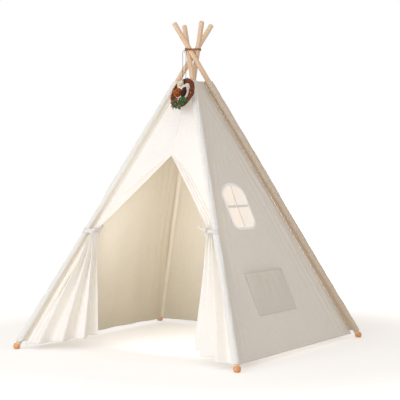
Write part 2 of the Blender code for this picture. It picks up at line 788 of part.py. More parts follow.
def curtain_grid(side):
    apex_row = curtain_row(side, 0.0)
    shares = [point[0] / apex_row[0][0] for point in apex_row]
    rows = []
    for height in np.linspace(COVER_TOP, DOOR_APEX, PLAIN_ROWS, endpoint=False):
        seam = seam_point(height)
        rows.append([np.array([max(seam[0] * s, GAP), seam[1], height]) for s in shares])
    collar = STRAP_WIDTH / 2 + BUNDLE_COLLAR
    above = 1 - collar / (DOOR_APEX - TIE_HEIGHT[side])
    below = 1 + collar / (TIE_HEIGHT[side] - HEM_HEIGHT)
    steps = [*np.linspace(0, above, UPPER_ROWS), 1.0, *np.linspace(below, 2, LOWER_ROWS)]
    rows += [curtain_row(side, q) for q in steps]
    grid = np.array(rows)
    if side == "left":
        grid[:, :, 0] *= -1
    return grid


def add_curtain(side):
    bm = thick_sheet(curtain_grid(side), CURTAIN_CLOTH)
    return add_object("front_%s_curtain" % side, bm, COTTON)


# Tie-backs


def tie_circles(side, height):
    """The sleeve and the gathered cloth at this height near the tie, as two circles."""
    sign = -1 if side == "left" else 1
    pole = pole_at_height("front_%s" % side, height)
    lean = pole_direction("front_%s" % side).z
    sleeve = SLEEVE_OUTER / lean + STRAP_SLACK
    middle = (tie_point(side) + seam_point(TIE_HEIGHT[side])) / 2
    middle += seam_point(height) - seam_point(TIE_HEIGHT[side])
    bundle = BUNDLE_RADIUS + STRAP_SLACK
    return sign, [((pole.x, pole.y), sleeve), ((sign * middle[0], middle[1]), bundle)]


def strap_point(side, height, angle):
    """On the outer hull of both circles, facing this way; 0 faces out of the tent's side."""
    sign, circles = tie_circles(side, height)
    normal = Vector((sign * math.cos(angle), math.sin(angle), 0))
    place, radius = max(circles, key=lambda c: c[0][0] * normal.x + c[0][1] * normal.y + c[1])
    return Vector((*place, height)) + normal * radius, normal


def add_tie_strap(side):
    """A band from the outside of the sleeve, round the front, to inside the door."""
    half = STRAP_WIDTH / 2
    rings = []
    for step in range(STRAP_STEPS + 1):
        angle = math.radians(lerp(STRAP_START, STRAP_END, step / STRAP_STEPS))
        ring = []
        for reach, up in ((0, -half), (STRAP_THICKNESS, -half), (STRAP_THICKNESS, half), (0, half)):
            point, normal = strap_point(side, TIE_HEIGHT[side] + up, angle)
            ring.append(point + normal * reach)
        rings.append(ring)
    bm = bmesh.new()
    skin_rings(bm, rings)
    return add_object("tie_strap_%s" % side, bm, BINDING_COTTON)


def knot_frame(side, depth):
    """At the knot's place on the strap: Y out of the strap, Z up along it."""
    turn = math.radians(KNOT_TURN)
    half = STRAP_WIDTH / 2
    point, normal = strap_point(side, TIE_HEIGHT[side], turn)
    slope = strap_point(side, TIE_HEIGHT[side] + half, turn)[0]
    slope -= strap_point(side, TIE_HEIGHT[side] - half, turn)[0]
    slope.normalize()
    out = (normal - slope * normal.dot(slope)).normalized()
    across = out.cross(slope)
    centre = point + out * (STRAP_THICKNESS + 2 * GAP + depth)
    return Matrix.Translation(centre) @ Matrix((across, out, slope)).transposed().to_4x4()


def add_tail(name, frame, points):
    """A flat ribbon end through points (across, out, up) in the knot's frame."""
    path = [Vector(p) for p in points]
    rings = []
    for i, point in enumerate(path):
        run = (path[min(i + 1, len(path) - 1)] - path[max(i - 1, 0)]).normalized()
        side = run.cross(Vector((0, 1, 0))).normalized() * TAIL_WIDTH / 2
        thick = side.cross(run).normalized() * TAIL_THICKNESS / 2
        rings.append([point + side * a + thick * b for a, b in ((-1, -1), (1, -1), (1, 1), (-1, 1))])
    bm = bmesh.new()
    skin_rings(bm, rings)
    bm.transform(frame)
    tail = add_object(name, bm, BINDING_COTTON)
    tail.hide_render = True
    tail.display_type = "WIRE"
    return tail


def add_tie_knot(side):
    """The knot on the front of the strap, one piece with its two loose ends."""
    knot = KNOT_DIAMETER / 2
    frame = knot_frame(side, knot * KNOT_FLATNESS)
    bm = bmesh.new()
    bmesh.ops.create_uvsphere(bm, u_segments=12, v_segments=8, radius=knot)
    bm.transform(frame @ Matrix.Diagonal((1, KNOT_FLATNESS, 0.9, 1)))
    obj = add_object("tie_knot_%s" % side, bm, BINDING_COTTON, smooth=True)
    tails = []
    for index, points in enumerate(TAILS[side]):
        tail = add_tail("tail_guide_%s_%d" % (side, index), frame, points)
        union = obj.modifiers.new("tail", "BOOLEAN")
        union.operation = "UNION"
        union.object = tail
        tails.append(tail)
    return [obj] + tails


# Lashing round the crossing


def bundle_support(angle, height, clearance):
    """The outermost point of the four poles at this height, in this direction."""
    normal = Vector((math.cos(angle), math.sin(angle), 0))
    best = None
    for corner in CORNERS:
        centre = pole_at_height(corner, height)
        along = pole_direction(corner)
        lean = Vector((along.x, along.y, 0)).normalized()
        across = Vector((-lean.y, lean.x, 0))
        a = POLE_RADIUS / along.z
        b = POLE_RADIUS
        n_lean, n_across = normal.dot(lean), normal.dot(across)
        size = math.hypot(a * n_lean, b * n_across)
        point = centre + lean * (a * a * n_lean / size) + across * (b * b * n_across / size)
        reach = point.dot(normal)
        if best is None or reach > best[0]:
            best = (reach, point + normal * clearance)
    return best[1]


def add_lashing():
    per_turn = 24
    total = LASHING_TURNS * per_turn
    clearance = GAP + LASHING_CORD / 2
    base = LASHING_HEIGHT - LASHING_TURNS * LASHING_PITCH / 2
    top = base + LASHING_TURNS * LASHING_PITCH
    path = []
    for step in range(total + 1):
        height = base + LASHING_PITCH * step / per_turn
        angle = 2 * math.pi * step / per_turn - math.pi * 0.75
        at_low = bundle_support(angle, base, clearance)
        at_high = bundle_support(angle, top, clearance)
        reach = at_low if at_low.xy.length > at_high.xy.length else at_high
        path.append(Vector((reach.x, reach.y, height)))
    gap = min(
        (path[i] - path[j]).length - LASHING_CORD
        for i in range(len(path)) for j in range(i + per_turn // 2, len(path))
    )
    print("lashing least gap to itself, mm", round(gap * 1000, 2))
    return tube_along("pole_lashing", path, LASHING_CORD, TWINE_JUTE, resolution=1)


# Wreath


def wreath_frame():
    """Origin at the ring's centre; X across, Y up the lean, Z out from the tent."""
    left = pole_at_height("front_left", WREATH_HEIGHT)
    right = pole_at_height("front_right", WREATH_HEIGHT)
    across = (right - left).normalized()
    up = (pole_direction("front_left") + pole_direction("front_right")).normalized()
    up = (up - across * up.dot(across)).normalized()
    out = across.cross(up)
    if out.y > 0:
        out = -out
        across = -across
    share = (WREATH_X - left.x) / (right.x - left.x)
    centre = left.lerp(right, share) + out * WREATH_STAND_OFF
    facing = Matrix((across, up, across.cross(up))).transposed().to_4x4()
    return Matrix.Translation(centre) @ facing @ Matrix.Rotation(-math.radians(WREATH_TURN), 4, "Y")


def wreath_point(x, y, z=0.0):
    return wreath_frame() @ Vector((x, y, z))


RING_RADIUS = (WREATH_DIAMETER - WREATH_TUBE) / 2


def add_wreath_ring():
    """A lumpy ring of wound twigs."""
    bm = bmesh.new()
    around, sides = 28, 8
    rings = []
    for k in range(around):
        angle = 2 * math.pi * k / around
        outward = Vector((math.cos(angle), math.sin(angle), 0))
        thick = WREATH_TUBE / 2 * (1 - TWIG_LUMP * (k % 2))
        ring = []
        for s in range(sides):
            turn = 2 * math.pi * s / sides
            point = outward * (RING_RADIUS + thick * math.cos(turn))
            ring.append(bm.verts.new(point + Vector((0, 0, thick * math.sin(turn)))))
        rings.append(ring)
    for k in range(around):
        low, high = rings[k], rings[(k + 1) % around]
        for s in range(sides):
            t = (s + 1) % sides
            bm.faces.new((low[s], low[t], high[t], high[s]))
    bm.transform(wreath_frame())
    return add_object("wreath_ring", bm, TWIG, smooth=True)


def add_pine_cone(name, place, length, width, tilt, look):
    """A cone with stepped scales; tilt 0 points it out of the ring, 90 lays it down the front."""
    profile = [(0, -length / 2)]
    for k in range(1, SCALE_ROWS):
        t = k / SCALE_ROWS
        ridge = 1.0 if k % 2 else SCALE_STEP
        reach = width / 2 * math.sin(math.pi * t**CONE_FULLNESS) * ridge
        profile.append((reach, length * (t - 0.5)))
    profile.append((0, length / 2))
    bm = turned(profile, sides=12)
    turn = Matrix.Rotation(math.radians(tilt), 4, "X")
    bm.transform(wreath_frame() @ Matrix.Translation(place) @ turn)
    return add_object(name, bm, look)


def add_flower():
    """Broad petals as one scalloped cup."""
    around = 4 * PETALS
    half = FLOWER_DIAMETER / 2
    rings = []
    for reach, rise, scalloped in ((0.3, 0.0, 0), (1.0, 0.3, 1), (0.96, 0.42, 1), (0.4, 0.2, 0)):
        ring = []
        for k in range(around):
            angle = 2 * math.pi * k / around
            r = half * reach * (1 + PETAL_SCALLOP * math.cos(PETALS * angle) * scalloped)
            ring.append(Vector((r * math.cos(angle), r * math.sin(angle), rise * half)))
        rings.append(ring)
    bm = bmesh.new()
    skin_rings(bm, rings)
    bm.transform(wreath_frame() @ Matrix.Translation(FLOWER_PLACE))
    return add_object("wreath_flower", bm, PETAL)


def leaf_side(length):
    """One edge of a leaf with three blunt teeth, from its stalk to its tip."""
    half = length * LEAF_BREADTH / 2
    teeth = (
        (0.20, 0.32), (0.28, 0.30), (0.45, 1.0), (0.56, 0.66), (0.72, 0.86), (0.82, 0.40), (1.0, 0.05),
    )
    return [(length * t, half * share) for t, share in teeth]


def add_leaves():
    """A flat sprig of toothed leaves that spread from one hub at the foot of the ring."""
    outline = []
    for turn, length in LEAVES:
        frame = Matrix.Rotation(math.radians(turn), 2)
        side = leaf_side(length)
        blade = [(SPRIG_HUB, -SPRIG_HUB / 3)] + [(x, -y) for x, y in side]
        blade += list(reversed(side)) + [(SPRIG_HUB, SPRIG_HUB / 3)]
        outline += [tuple(frame @ Vector(point)) for point in blade]
    depth = WREATH_TUBE / 2 + GAP
    frame = wreath_frame() @ Matrix.Translation((*SPRIG_CENTRE, depth))

    def place(u, v, d):
        return frame @ Vector((u, v, d))

    return add_object("wreath_leaves", plate(outline, [], place, 0, LEAF_THICKNESS), LEAF)


def add_berry(index, place):
    front = WREATH_TUBE / 2 + 2 * GAP + LEAF_THICKNESS + BERRY_DIAMETER / 2
    bm = bmesh.new()
    centre = wreath_frame() @ Matrix.Translation((*place, front))
    bmesh.ops.create_icosphere(bm, subdivisions=2, radius=BERRY_DIAMETER / 2, matrix=centre)
    return add_object("berry_%d" % (index + 1), bm, BERRY, smooth=True)


clear_scene()

fold_hinge = add_pivot("fold_hinge", (0, 0, CROSSING_HEIGHT))
right_side = []
for corner in CORNERS:
    pieces = [add_pole_section(corner, index) for index in range(SECTIONS_PER_POLE)]
    pieces += [add_ferrule(corner, index) for index in range(SECTIONS_PER_POLE - 1)]
    pieces += [add_foot_cap(corner), add_sleeve(corner)]
    if "right" in corner:
        right_side += pieces

add_panel("left")
add_panel("back")
add_curtain("left")
add_tie_strap("left")
add_tie_knot("left")
add_lashing()

right_side += [
    add_panel("right"), add_window_binding(), add_window_muntins(), add_window_voile(),
    add_pocket(), add_curtain("right"), add_tie_strap("right"), *add_tie_knot("right"),
]
hang_on(fold_hinge, right_side)

swing_pivot = add_pivot("wreath_swing_axis", TWINE_ROUTE[0])
twine = tube_along("wreath_twine", smooth_path(TWINE_ROUTE, TWINE_STEPS), TWINE, TWINE_JUTE)
hang_on(swing_pivot, [twine])

loop_turn = math.radians(90 + LOOP_TURN)
loop_centre = wreath_point(RING_RADIUS * math.cos(loop_turn), RING_RADIUS * math.sin(loop_turn))
sway_pivot = add_pivot("wreath_sway_axis", loop_centre)
wreath = [
    add_wreath_ring(),
    add_flower(),
    add_pine_cone("wreath_cone_copper", COPPER_CONE_PLACE, CONE_THICKNESS, CONE_DIAMETER,
                  0, CONE_COPPER),
    add_pine_cone("wreath_cone_dark", DARK_CONE_PLACE, DARK_CONE_LENGTH, DARK_CONE_DIAMETER,
                  90, CONE_DARK),
    add_leaves(),
]
wreath += [add_berry(index, place) for index, place in enumerate(BERRIES)]
hang_on(sway_pivot, wreath)
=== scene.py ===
# Play tent in natural cotton on four pine poles, seen from its front right corner.
# Metres, +Z up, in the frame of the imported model. -Y is the door side.

import math

import bpy
import numpy as np
from mathutils import Matrix, Vector


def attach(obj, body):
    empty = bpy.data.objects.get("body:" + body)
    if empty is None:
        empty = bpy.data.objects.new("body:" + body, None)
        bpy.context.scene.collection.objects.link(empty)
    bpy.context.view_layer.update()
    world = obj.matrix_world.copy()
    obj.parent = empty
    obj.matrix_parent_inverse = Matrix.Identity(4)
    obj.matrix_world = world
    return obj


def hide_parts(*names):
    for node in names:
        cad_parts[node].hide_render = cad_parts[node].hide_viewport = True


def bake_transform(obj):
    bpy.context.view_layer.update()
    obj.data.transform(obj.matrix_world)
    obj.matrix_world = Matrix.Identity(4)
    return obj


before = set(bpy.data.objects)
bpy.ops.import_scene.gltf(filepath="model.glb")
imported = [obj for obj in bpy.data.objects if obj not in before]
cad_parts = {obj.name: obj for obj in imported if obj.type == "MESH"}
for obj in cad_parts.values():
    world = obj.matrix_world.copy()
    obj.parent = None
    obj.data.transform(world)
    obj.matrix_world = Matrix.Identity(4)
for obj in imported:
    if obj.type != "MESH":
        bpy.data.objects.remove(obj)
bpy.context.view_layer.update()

# The frame's sizes, as in the model's source
POLE_SPACING = 1.2
CROSSING_HEIGHT = 1.372
POLE_DIAMETER = 0.024
GAP = 0.0003
FERRULE_WALL = 0.0008
HEM_HEIGHT = 0.02
COVER_TOP = 1.255
CANVAS = 0.0015
FLANGE_HEM = 0.033
FLANGE_TOP = 0.0229
SLEEVE_CLOTH = 0.0012
SLEEVE_FOOT = 0.036
SLEEVE_SLACK = 0.0007

# The door and its curtains, as in the model's source
DOOR_APEX = 0.90
TIE_HEIGHT = {"left": 0.553, "right": 0.568}
TIE_INWARD = 0.031
TIE_FORWARD = 0.018
FREE_CORNER_HEIGHT = 0.062
FREE_CORNER_INWARD = 0.016
FREE_CORNER_FORWARD = 0.022
EDGE_BOW = 0.014
FOLD_COUNT = 3.5
FOLD_LIMIT = 0.038
FOLD_BAND_START = 0.02
EDGE_BAND = 0.03
EDGE_BAND_SHARE = 0.25
EDGE_FOLD = 0.004
FLAT_LEAST = 0.003
FOLD_ONSET = 5
GATHER_START, GATHER_SPAN = 0.9, 0.2
CURTAIN_CLOTH = 0.0012
BUNDLE_RADIUS = 0.024
BUNDLE_COLLAR = 0.004
BUNDLE_FOLD = 0.010
BUNDLE_CORE = 0.8
BUNDLE_FLARE = 1.0
CURTAIN_CUSHION = 0.008
CURTAIN_CLEARANCE = 0.003
HEM_BOW = 0.78
STRAP_WIDTH = 0.024
STRAP_SLACK = 0.0007
STRAP_THICKNESS = 0.0014
KNOT_TURN = -120

# Window and pocket, as in the model's source
WINDOW_WIDTH = 0.196
WINDOW_HEIGHT = 0.212
WINDOW_ARCH = 0.062
WINDOW_CORNER = 0.045
WINDOW_CENTRE_Y = -0.059
WINDOW_CENTRE_HEIGHT = 0.667
BINDING_WIDTH = 0.013
BINDING_OVERLAP = 0.002
POCKET_WIDTH = 0.348
POCKET_HEIGHT = 0.200
POCKET_CENTRE_Y = -0.052
POCKET_FOOT_HEIGHT = 0.186
POCKET_FULLNESS = 0.017

# Lashing and wreath, as in the model's source
LASHING_HEIGHT = 1.405
LASHING_TURNS = 3
LASHING_CORD = 0.0028
LASHING_PITCH = 0.0034
WREATH_DIAMETER = 0.152
WREATH_TUBE = 0.026
WREATH_HEIGHT = 1.176
WREATH_X = 0.032
WREATH_TURN = 9.0
WREATH_STAND_OFF = 0.044
TWINE = 0.0022
TWINE_ROUTE = (
    (-0.0443, -0.0030, 1.4050), (-0.0475, -0.0043, 1.4045), (-0.0508, -0.0064, 1.4010),
    (-0.0512, -0.0105, 1.3935), (-0.0470, -0.0180, 1.3820), (-0.0400, -0.0280, 1.3680),
    (-0.0270, -0.0480, 1.3410), (-0.0100, -0.0760, 1.3040), (0.0030, -0.0975, 1.2760),
    (0.0104, -0.1085, 1.2621), (0.0110, -0.1165, 1.2545), (0.0142, -0.1174, 1.2434),
    (0.0179, -0.1100, 1.2353), (0.0201, -0.0986, 1.2350), (0.0194, -0.0899, 1.2426),
    (0.0162, -0.0880, 1.2545), (0.0125, -0.0815, 1.2780), (0.0055, -0.0710, 1.3200),
    (-0.0010, -0.0600, 1.3600), (-0.0045, -0.0548, 1.3850), (-0.0057, -0.0524, 1.3970),
    (-0.0059, -0.0508, 1.4035), (-0.0058, -0.0490, 1.4050), (-0.0057, -0.0473, 1.4050),
)
TWINE_STEPS = 3

# The camera that was fitted to the photograph
CAMERA_PLACE = (3.086, -4.845, 0.859)
CAMERA_AZIMUTH = 32.16
CAMERA_DROP = 1.71
CAMERA_LENS = 107.86
CAMERA_SENSOR = 36.0
CAMERA_REACH = 60

CORNERS = {
    "front_left": (-1, -1),
    "front_right": (1, -1),
    "back_right": (1, 1),
    "back_left": (-1, 1),
}
POLE_RADIUS = POLE_DIAMETER / 2
HALF_SPACING = POLE_SPACING / 2
SLEEVE_OUTER = POLE_RADIUS + GAP + FERRULE_WALL + SLEEVE_SLACK + SLEEVE_CLOTH
PANEL_INSET = CANVAS + GAP


def side_of(corner):
    return "left_side" if "left" in corner else "right_side"


# Small numeric helpers


def lerp(a, b, t):
    return a + (b - a) * t


def smoothstep(t):
    t = np.clip(t, 0.0, 1.0)
    return t * t * (3 - 2 * t)


RIPPLE_COUNT = 8


def ripples(a, b, seed):
    """Smooth noise of about unit height over two coordinates given in wavelengths."""
    random = np.random.default_rng(seed)
    total = 0.0
    for _ in range(RIPPLE_COUNT):
        fa, fb = random.uniform(0.45, 1.5, 2)
        sign = random.choice((-1, 1))
        phase = random.uniform(0, 2 * math.pi)
        total = total + np.sin(2 * math.pi * (fa * a + sign * fb * b) + phase)
    return total / math.sqrt(RIPPLE_COUNT)


def smooth_path(points, per_span):
    """Points along a Catmull-Rom curve through the given points."""
    pts = [Vector(p) for p in points]
    pts = [pts[0] * 2 - pts[1]] + pts + [pts[-1] * 2 - pts[-2]]
    path = []
    for i in range(1, len(pts) - 2):
        a, b, c, d = pts[i - 1 : i + 3]
        for k in range(per_span):
            t = k / per_span
            path.append(
                0.5 * (2 * b + (c - a) * t + (2 * a - 5 * b + 4 * c - d) * t**2
                       + (3 * b - a - 3 * c + d) * t**3)
            )
    path.append(pts[-2])
    return path


# Camera


def set_camera():
    data = bpy.data.cameras.new("camera")
    data.lens = CAMERA_LENS
    data.sensor_width = CAMERA_SENSOR
    data.clip_end = CAMERA_REACH
    camera = bpy.data.objects.new("camera", data)
    camera.location = CAMERA_PLACE
    camera.rotation_euler = (math.radians(90 - CAMERA_DROP), 0, math.radians(CAMERA_AZIMUTH))
    bpy.context.scene.collection.objects.link(camera)
    bpy.context.scene.camera = camera


# Materials


def linear(r, g, b):
    """A colour written as seen on a screen, 0 to 255, in the scene's linear values."""
    return tuple(
        c / 12.92 if c <= 0.04045 else ((c + 0.055) / 1.055) ** 2.4 for c in (r / 255, g / 255, b / 255)
    )


def shade(colour, share):
    return tuple(c * share for c in colour)


def add_node(tree, kind, inputs=None, **settings):
    """A node with each input linked to a socket or set to a value."""
    made = tree.nodes.new("ShaderNode" + kind)
    for key, value in settings.items():
        setattr(made, key, value)
    for key, value in (inputs or {}).items():
        if isinstance(value, bpy.types.NodeSocket):
            tree.links.new(value, made.inputs[key])
        else:
            made.inputs[key].default_value = value
    return made


class Recipe:
    """A Principled material whose colour and bump are built up from nodes."""

    def __init__(self, name, roughness, **sockets):
        self.material = bpy.data.materials.new(name)
        self.material.use_nodes = True
        self.tree = self.material.node_tree
        self.shader = self.tree.nodes["Principled BSDF"]
        self.shader.inputs["Roughness"].default_value = roughness
        for socket, value in sockets.items():
            self.shader.inputs[socket.replace("_", " ")].default_value = value
        self.bumps = []

    def node(self, kind, inputs=None, **settings):
        return add_node(self.tree, kind, inputs, **settings)

    def math(self, operation, a, b=0.0, c=0.0):
        return self.node("Math", {0: a, 1: b, 2: c}, operation=operation).outputs[0]

    def place(self, scale=(1, 1, 1), turn=(0, 0, 0), uv=None):
        """Coordinates in metres: the object's own, or a cloth's, times a scale."""
        if uv:
            source = self.node("UVMap", uv_map=uv).outputs[0]
        else:
            source = self.node("TexCoord").outputs["Object"]
        if any(turn):
            source = self.node("Mapping", {"Vector": source, "Rotation": turn}).outputs[0]
        return self.node("Mapping", {"Vector": source, "Scale": scale}).outputs[0]

    def apart(self, uv, scale=(1, 1, 1)):
        """A cloth's two coordinates, times a scale."""
        return self.node("SeparateXYZ", {0: self.place(scale, uv=uv)}).outputs[:2]

    def noise(self, scale, detail, rough=0.5, **place):
        inputs = {"Vector": self.place(scale, **place), "Scale": 1.0, "Detail": detail, "Roughness": rough}
        return self.node("TexNoise", inputs).outputs["Fac"]

    def cells(self, scale, randomness=1.0, feature="F1", **place):
        inputs = {"Vector": self.place(scale, **place), "Scale": 1.0, "Randomness": randomness}
        return self.node("TexVoronoi", inputs, feature=feature).outputs["Distance"]

    def waves(self, scale, size, distortion, kind, **place):
        inputs = {"Vector": self.place(scale, **place), "Scale": size, "Distortion": distortion}
        return self.node("TexWave", {**inputs, "Detail": 3.0}, wave_type=kind).outputs["Fac"]

    def weave(self, thread):
        """Threads of this width that go over and under each other."""
        across, along = self.apart("cloth", (math.pi / thread,) * 3)
        return self.math("MULTIPLY", self.math("SINE", across), self.math("SINE", along))

    def ramp(self, value, *stops):
        """Colours as stops of (position, linear colour)."""
        made = self.node("ValToRGB", {"Fac": value})
        band = made.color_ramp
        while len(band.elements) < len(stops):
            band.elements.new(0.5)
        for element, (position, colour) in zip(band.elements, stops):
            element.position = position
            element.color = (*colour, 1.0)
        return made.outputs["Color"]

    def mix(self, factor, a, b):
        a, b = (end if isinstance(end, bpy.types.NodeSocket) else (*end, 1.0) for end in (a, b))
        return self.node("Mix", {"Factor": factor, 6: a, 7: b}, data_type="RGBA").outputs[2]

    def bump(self, height, distance):
        self.bumps.append((height, distance))

    def finish(self, colour, roughness=None):
        self.tree.links.new(colour, self.shader.inputs["Base Color"])
        if roughness is not None:
            self.tree.links.new(roughness, self.shader.inputs["Roughness"])
        normal = {}
        for height, distance in self.bumps:
            bump = self.node("Bump", {"Height": height, "Distance": distance, "Strength": 1.0, **normal})
            normal = {"Normal": bump.outputs[0]}
        if normal:
            self.tree.links.new(normal["Normal"], self.shader.inputs["Normal"])
        return self.material


STITCH_LINES = (0.004, 0.020)
STITCH_WIDTH = 0.0006
STITCH_LENGTH = 0.0044
STITCH_SHARE = 0.74
STITCH_DEPTH = 0.0004
CREASE_DEPTH = 0.0012
SLUB_DEPTH = 0.00012
WEAVE_DEPTH = 0.00011
SLUB_SHADE, PATCH_SHADE, NEEDLE_SHADE = 0.86, 0.80, 0.62
FINE_THREAD = 0.0005
CHANNEL_WIDTH = 0.135
# Where the painted shade beside a channel's seam begins, and over what width it fades out.
SEAM_SHADE_START = 0.022
SEAM_SHADE_FADE = 0.02


def cotton(name, colour, thread=0.0007, relief=1.0, stitched=True, painted_glow=0.0, painted_seam_shade=None):
    """Plain weave with slubs, soft creases and topstitching, with painted shade near a channel's seam and an
    optional painted glow.
    """
    r = Recipe(
        name, 0.92, Sheen_Weight=0.15, Sheen_Roughness=0.5, Specular_IOR_Level=0.2,
        Subsurface_Weight=0.25, Subsurface_Scale=0.006, Subsurface_Radius=(1.0, 0.75, 0.5),
    )
    # The emission is a painted glow standing in for light through the thin cloth; the cloth is no lamp.
    if painted_glow:
        r.shader.inputs["Emission Color"].default_value = (*colour, 1.0)
        r.shader.inputs["Emission Strength"].default_value = painted_glow
    slubs = r.math("ADD", r.noise((900, 25, 1), 2, uv="cloth"), r.noise((25, 900, 1), 2, uv="cloth"))
    tone = r.math("MULTIPLY", slubs, 0.5)
    patches = r.noise((7, 7, 1), 4, 0.55, uv="cloth")
    light = tuple(min(1.0, c * 1.03) for c in colour)
    base = r.ramp(tone, (0.25, shade(colour, SLUB_SHADE)), (0.55, colour), (0.8, light))
    base = r.mix(r.math("MULTIPLY", patches, 0.10), base, shade(colour, PATCH_SHADE))
    r.bump(r.noise((26, 34, 1), 3, 0.45, uv="cloth"), CREASE_DEPTH * relief)
    r.bump(slubs, SLUB_DEPTH * relief)
    r.bump(r.weave(thread), WEAVE_DEPTH * relief)
    if painted_seam_shade:
        # Painted shade: in a band beside each seam of the channel the colour turns darker and warmer, as the
        # flange lies in the tube's shade.
        run = r.apart("cloth")[0]
        edge = r.math("MINIMUM", run, r.math("SUBTRACT", CHANNEL_WIDTH, run))
        away = r.math("DIVIDE", r.math("SUBTRACT", edge, SEAM_SHADE_START), SEAM_SHADE_FADE)
        near = r.math("SUBTRACT", 1.0, r.math("MINIMUM", r.math("MAXIMUM", away, 0.0), 1.0))
        base = r.mix(near, base, r.mix(tone, shade(painted_seam_shade, SLUB_SHADE), painted_seam_shade))
    if stitched:
        off, along = r.apart("seam")
        dash = r.math("LESS_THAN", r.math("FRACT", r.math("DIVIDE", along, STITCH_LENGTH)), STITCH_SHARE)
        line = 0.0
        for distance in STITCH_LINES:
            beside = r.math("ABSOLUTE", r.math("SUBTRACT", off, distance))
            line = r.math("ADD", r.math("LESS_THAN", beside, STITCH_WIDTH), line)
        stitch = r.math("MULTIPLY", dash, line)
        base = r.mix(r.math("MULTIPLY", line, 0.35), base, shade(colour, NEEDLE_SHADE))
        base = r.mix(r.math("MULTIPLY", stitch, 0.8), base, light)
        r.bump(r.math("SUBTRACT", stitch, line), STITCH_DEPTH)
    return r.finish(base)


def voile_cloth():
    """A thin cream cloth in fine upright pleats, with a painted glow standing in for light through it and
    painted shade in the pleats' hollows.
    """
    cream = linear(248, 242, 231)
    # Its emission is a painted glow; the cloth is no lamp.
    r = Recipe(
        "voile", 0.85, Subsurface_Weight=0.5, Subsurface_Scale=0.01,
        Emission_Color=(*linear(250, 249, 246), 1.0), Emission_Strength=0.26,
    )
    pleats = r.noise((420, 6, 1), 2, uv="cloth")
    r.bump(pleats, 0.0006)
    r.bump(r.weave(FINE_THREAD), 0.00006)
    # Painted shade: the colour darkens where the pleats' bump is low, in their hollows.
    return r.finish(r.ramp(pleats, (0.3, shade(cream, 0.88)), (0.65, cream)))


def pine(corner):
    """Sanded pine with its grain along this corner's pole."""
    r = Recipe("pine_" + corner, 0.5, Specular_IOR_Level=0.35)
    turn = pole_direction(corner).rotation_difference(Vector((0, 0, 1))).to_euler()
    rings = r.waves((190, 190, 5), 0.35, 5.0, "BANDS", turn=turn)
    fibres = r.noise((900, 900, 22), 4, 0.65, turn=turn)
    patches = r.noise((22, 22, 4), 2, turn=turn)
    knots = r.cells((34, 34, 9), turn=turn)
    pale, mid, deep = linear(240, 214, 186), linear(228, 196, 164), linear(192, 146, 106)
    base = r.ramp(rings, (0.15, pale), (0.6, mid), (0.95, linear(214, 176, 140)))
    base = r.mix(r.math("MULTIPLY", fibres, 0.12), base, linear(208, 168, 130))
    base = r.mix(r.math("MULTIPLY", patches, 0.35), base, pale)
    spot = r.math("SUBTRACT", 1.0, r.math("MULTIPLY", knots, 9.0))
    base = r.mix(r.math("MAXIMUM", spot, 0.0), base, deep)
    r.bump(fibres, 0.00005)
    r.bump(rings, 0.00004)
    return r.finish(base, r.math("MULTIPLY_ADD", fibres, 0.25, 0.38))


def varnished_wood():
    r = Recipe("cap_wood", 0.32, Coat_Weight=0.4, Coat_Roughness=0.15)
    grain = r.waves((160, 160, 60), 1.0, 6.0, "RINGS")
    r.bump(grain, 0.0001)
    pale, mid, deep = linear(238, 178, 120), linear(222, 150, 92), linear(190, 116, 62)
    return r.finish(r.ramp(grain, (0.2, pale), (0.7, mid), (1.0, deep)))


def spun_metal():
    r = Recipe("ferrule_metal", 0.35, Metallic=1.0)
    lines = r.noise((60, 60, 2500), 2)
    r.bump(lines, 0.00003)
    return r.finish(r.ramp(lines, (0.3, (0.50, 0.49, 0.47)), (0.7, (0.62, 0.61, 0.58))))


def twisted_fibre(name, dark, light):
    """Hairy plant fibre; the twist itself is in the mesh."""
    r = Recipe(name, 0.9, Sheen_Weight=0.3)
    hairs = r.noise((1600, 1600, 900), 4, 0.7)
    tone = r.noise((90, 90, 60), 2)
    r.bump(hairs, 0.0003)
    return r.finish(r.mix(r.math("MULTIPLY", tone, 0.4), r.ramp(hairs, (0.3, dark), (0.7, light)), dark))


def bark(name, dark, mid, light, scale, scale_shading_cell=0.0):
    """Flaky wood; with cells of this size, each is painted lighter in its middle, a painted highlight on a
    scale's tip, and darker at its edges, painted shade in the gaps between scales.
    """
    r = Recipe(name, 0.78, Specular_IOR_Level=0.3)
    flakes = r.noise((scale,) * 3, 5, 0.7)
    tone = r.noise((70,) * 3, 2)
    base = r.ramp(flakes, (0.3, dark), (0.55, mid), (0.8, light))
    base = r.mix(r.math("MULTIPLY", tone, 0.3), base, dark)
    if scale_shading_cell:
        cells = r.cells((1 / scale_shading_cell,) * 3, 0.8)
        # Painted highlight in each cell's middle, then painted shade at its edges.
        base = r.mix(r.ramp(cells, (0.15, (0.75, 0.75, 0.75)), (0.5, (0, 0, 0))), base, light)
        base = r.mix(r.ramp(cells, (0.45, (0, 0, 0)), (0.75, (0.9, 0.9, 0.9))), base, dark)
    r.bump(flakes, 0.0005)
    return r.finish(base)


def leaf_green():
    r = Recipe("holly_leaf", 0.5, Specular_IOR_Level=0.35)
    mottle = r.noise((220,) * 3, 4)
    r.bump(r.cells((420,) * 3, feature="DISTANCE_TO_EDGE"), 0.0004)
    r.bump(mottle, 0.0003)
    deep, mid, pale = linear(10, 62, 26), linear(22, 98, 40), linear(70, 140, 66)
    return r.finish(r.ramp(mottle, (0.3, deep), (0.6, mid), (0.85, pale)))


def berry_red():
    r = Recipe("berry", 0.3, Coat_Weight=0.25, Coat_Roughness=0.1)
    tone = r.noise((260,) * 3, 2)
    r.bump(tone, 0.0003)
    return r.finish(r.ramp(tone, (0.3, linear(160, 8, 22)), (0.7, linear(214, 22, 40))))


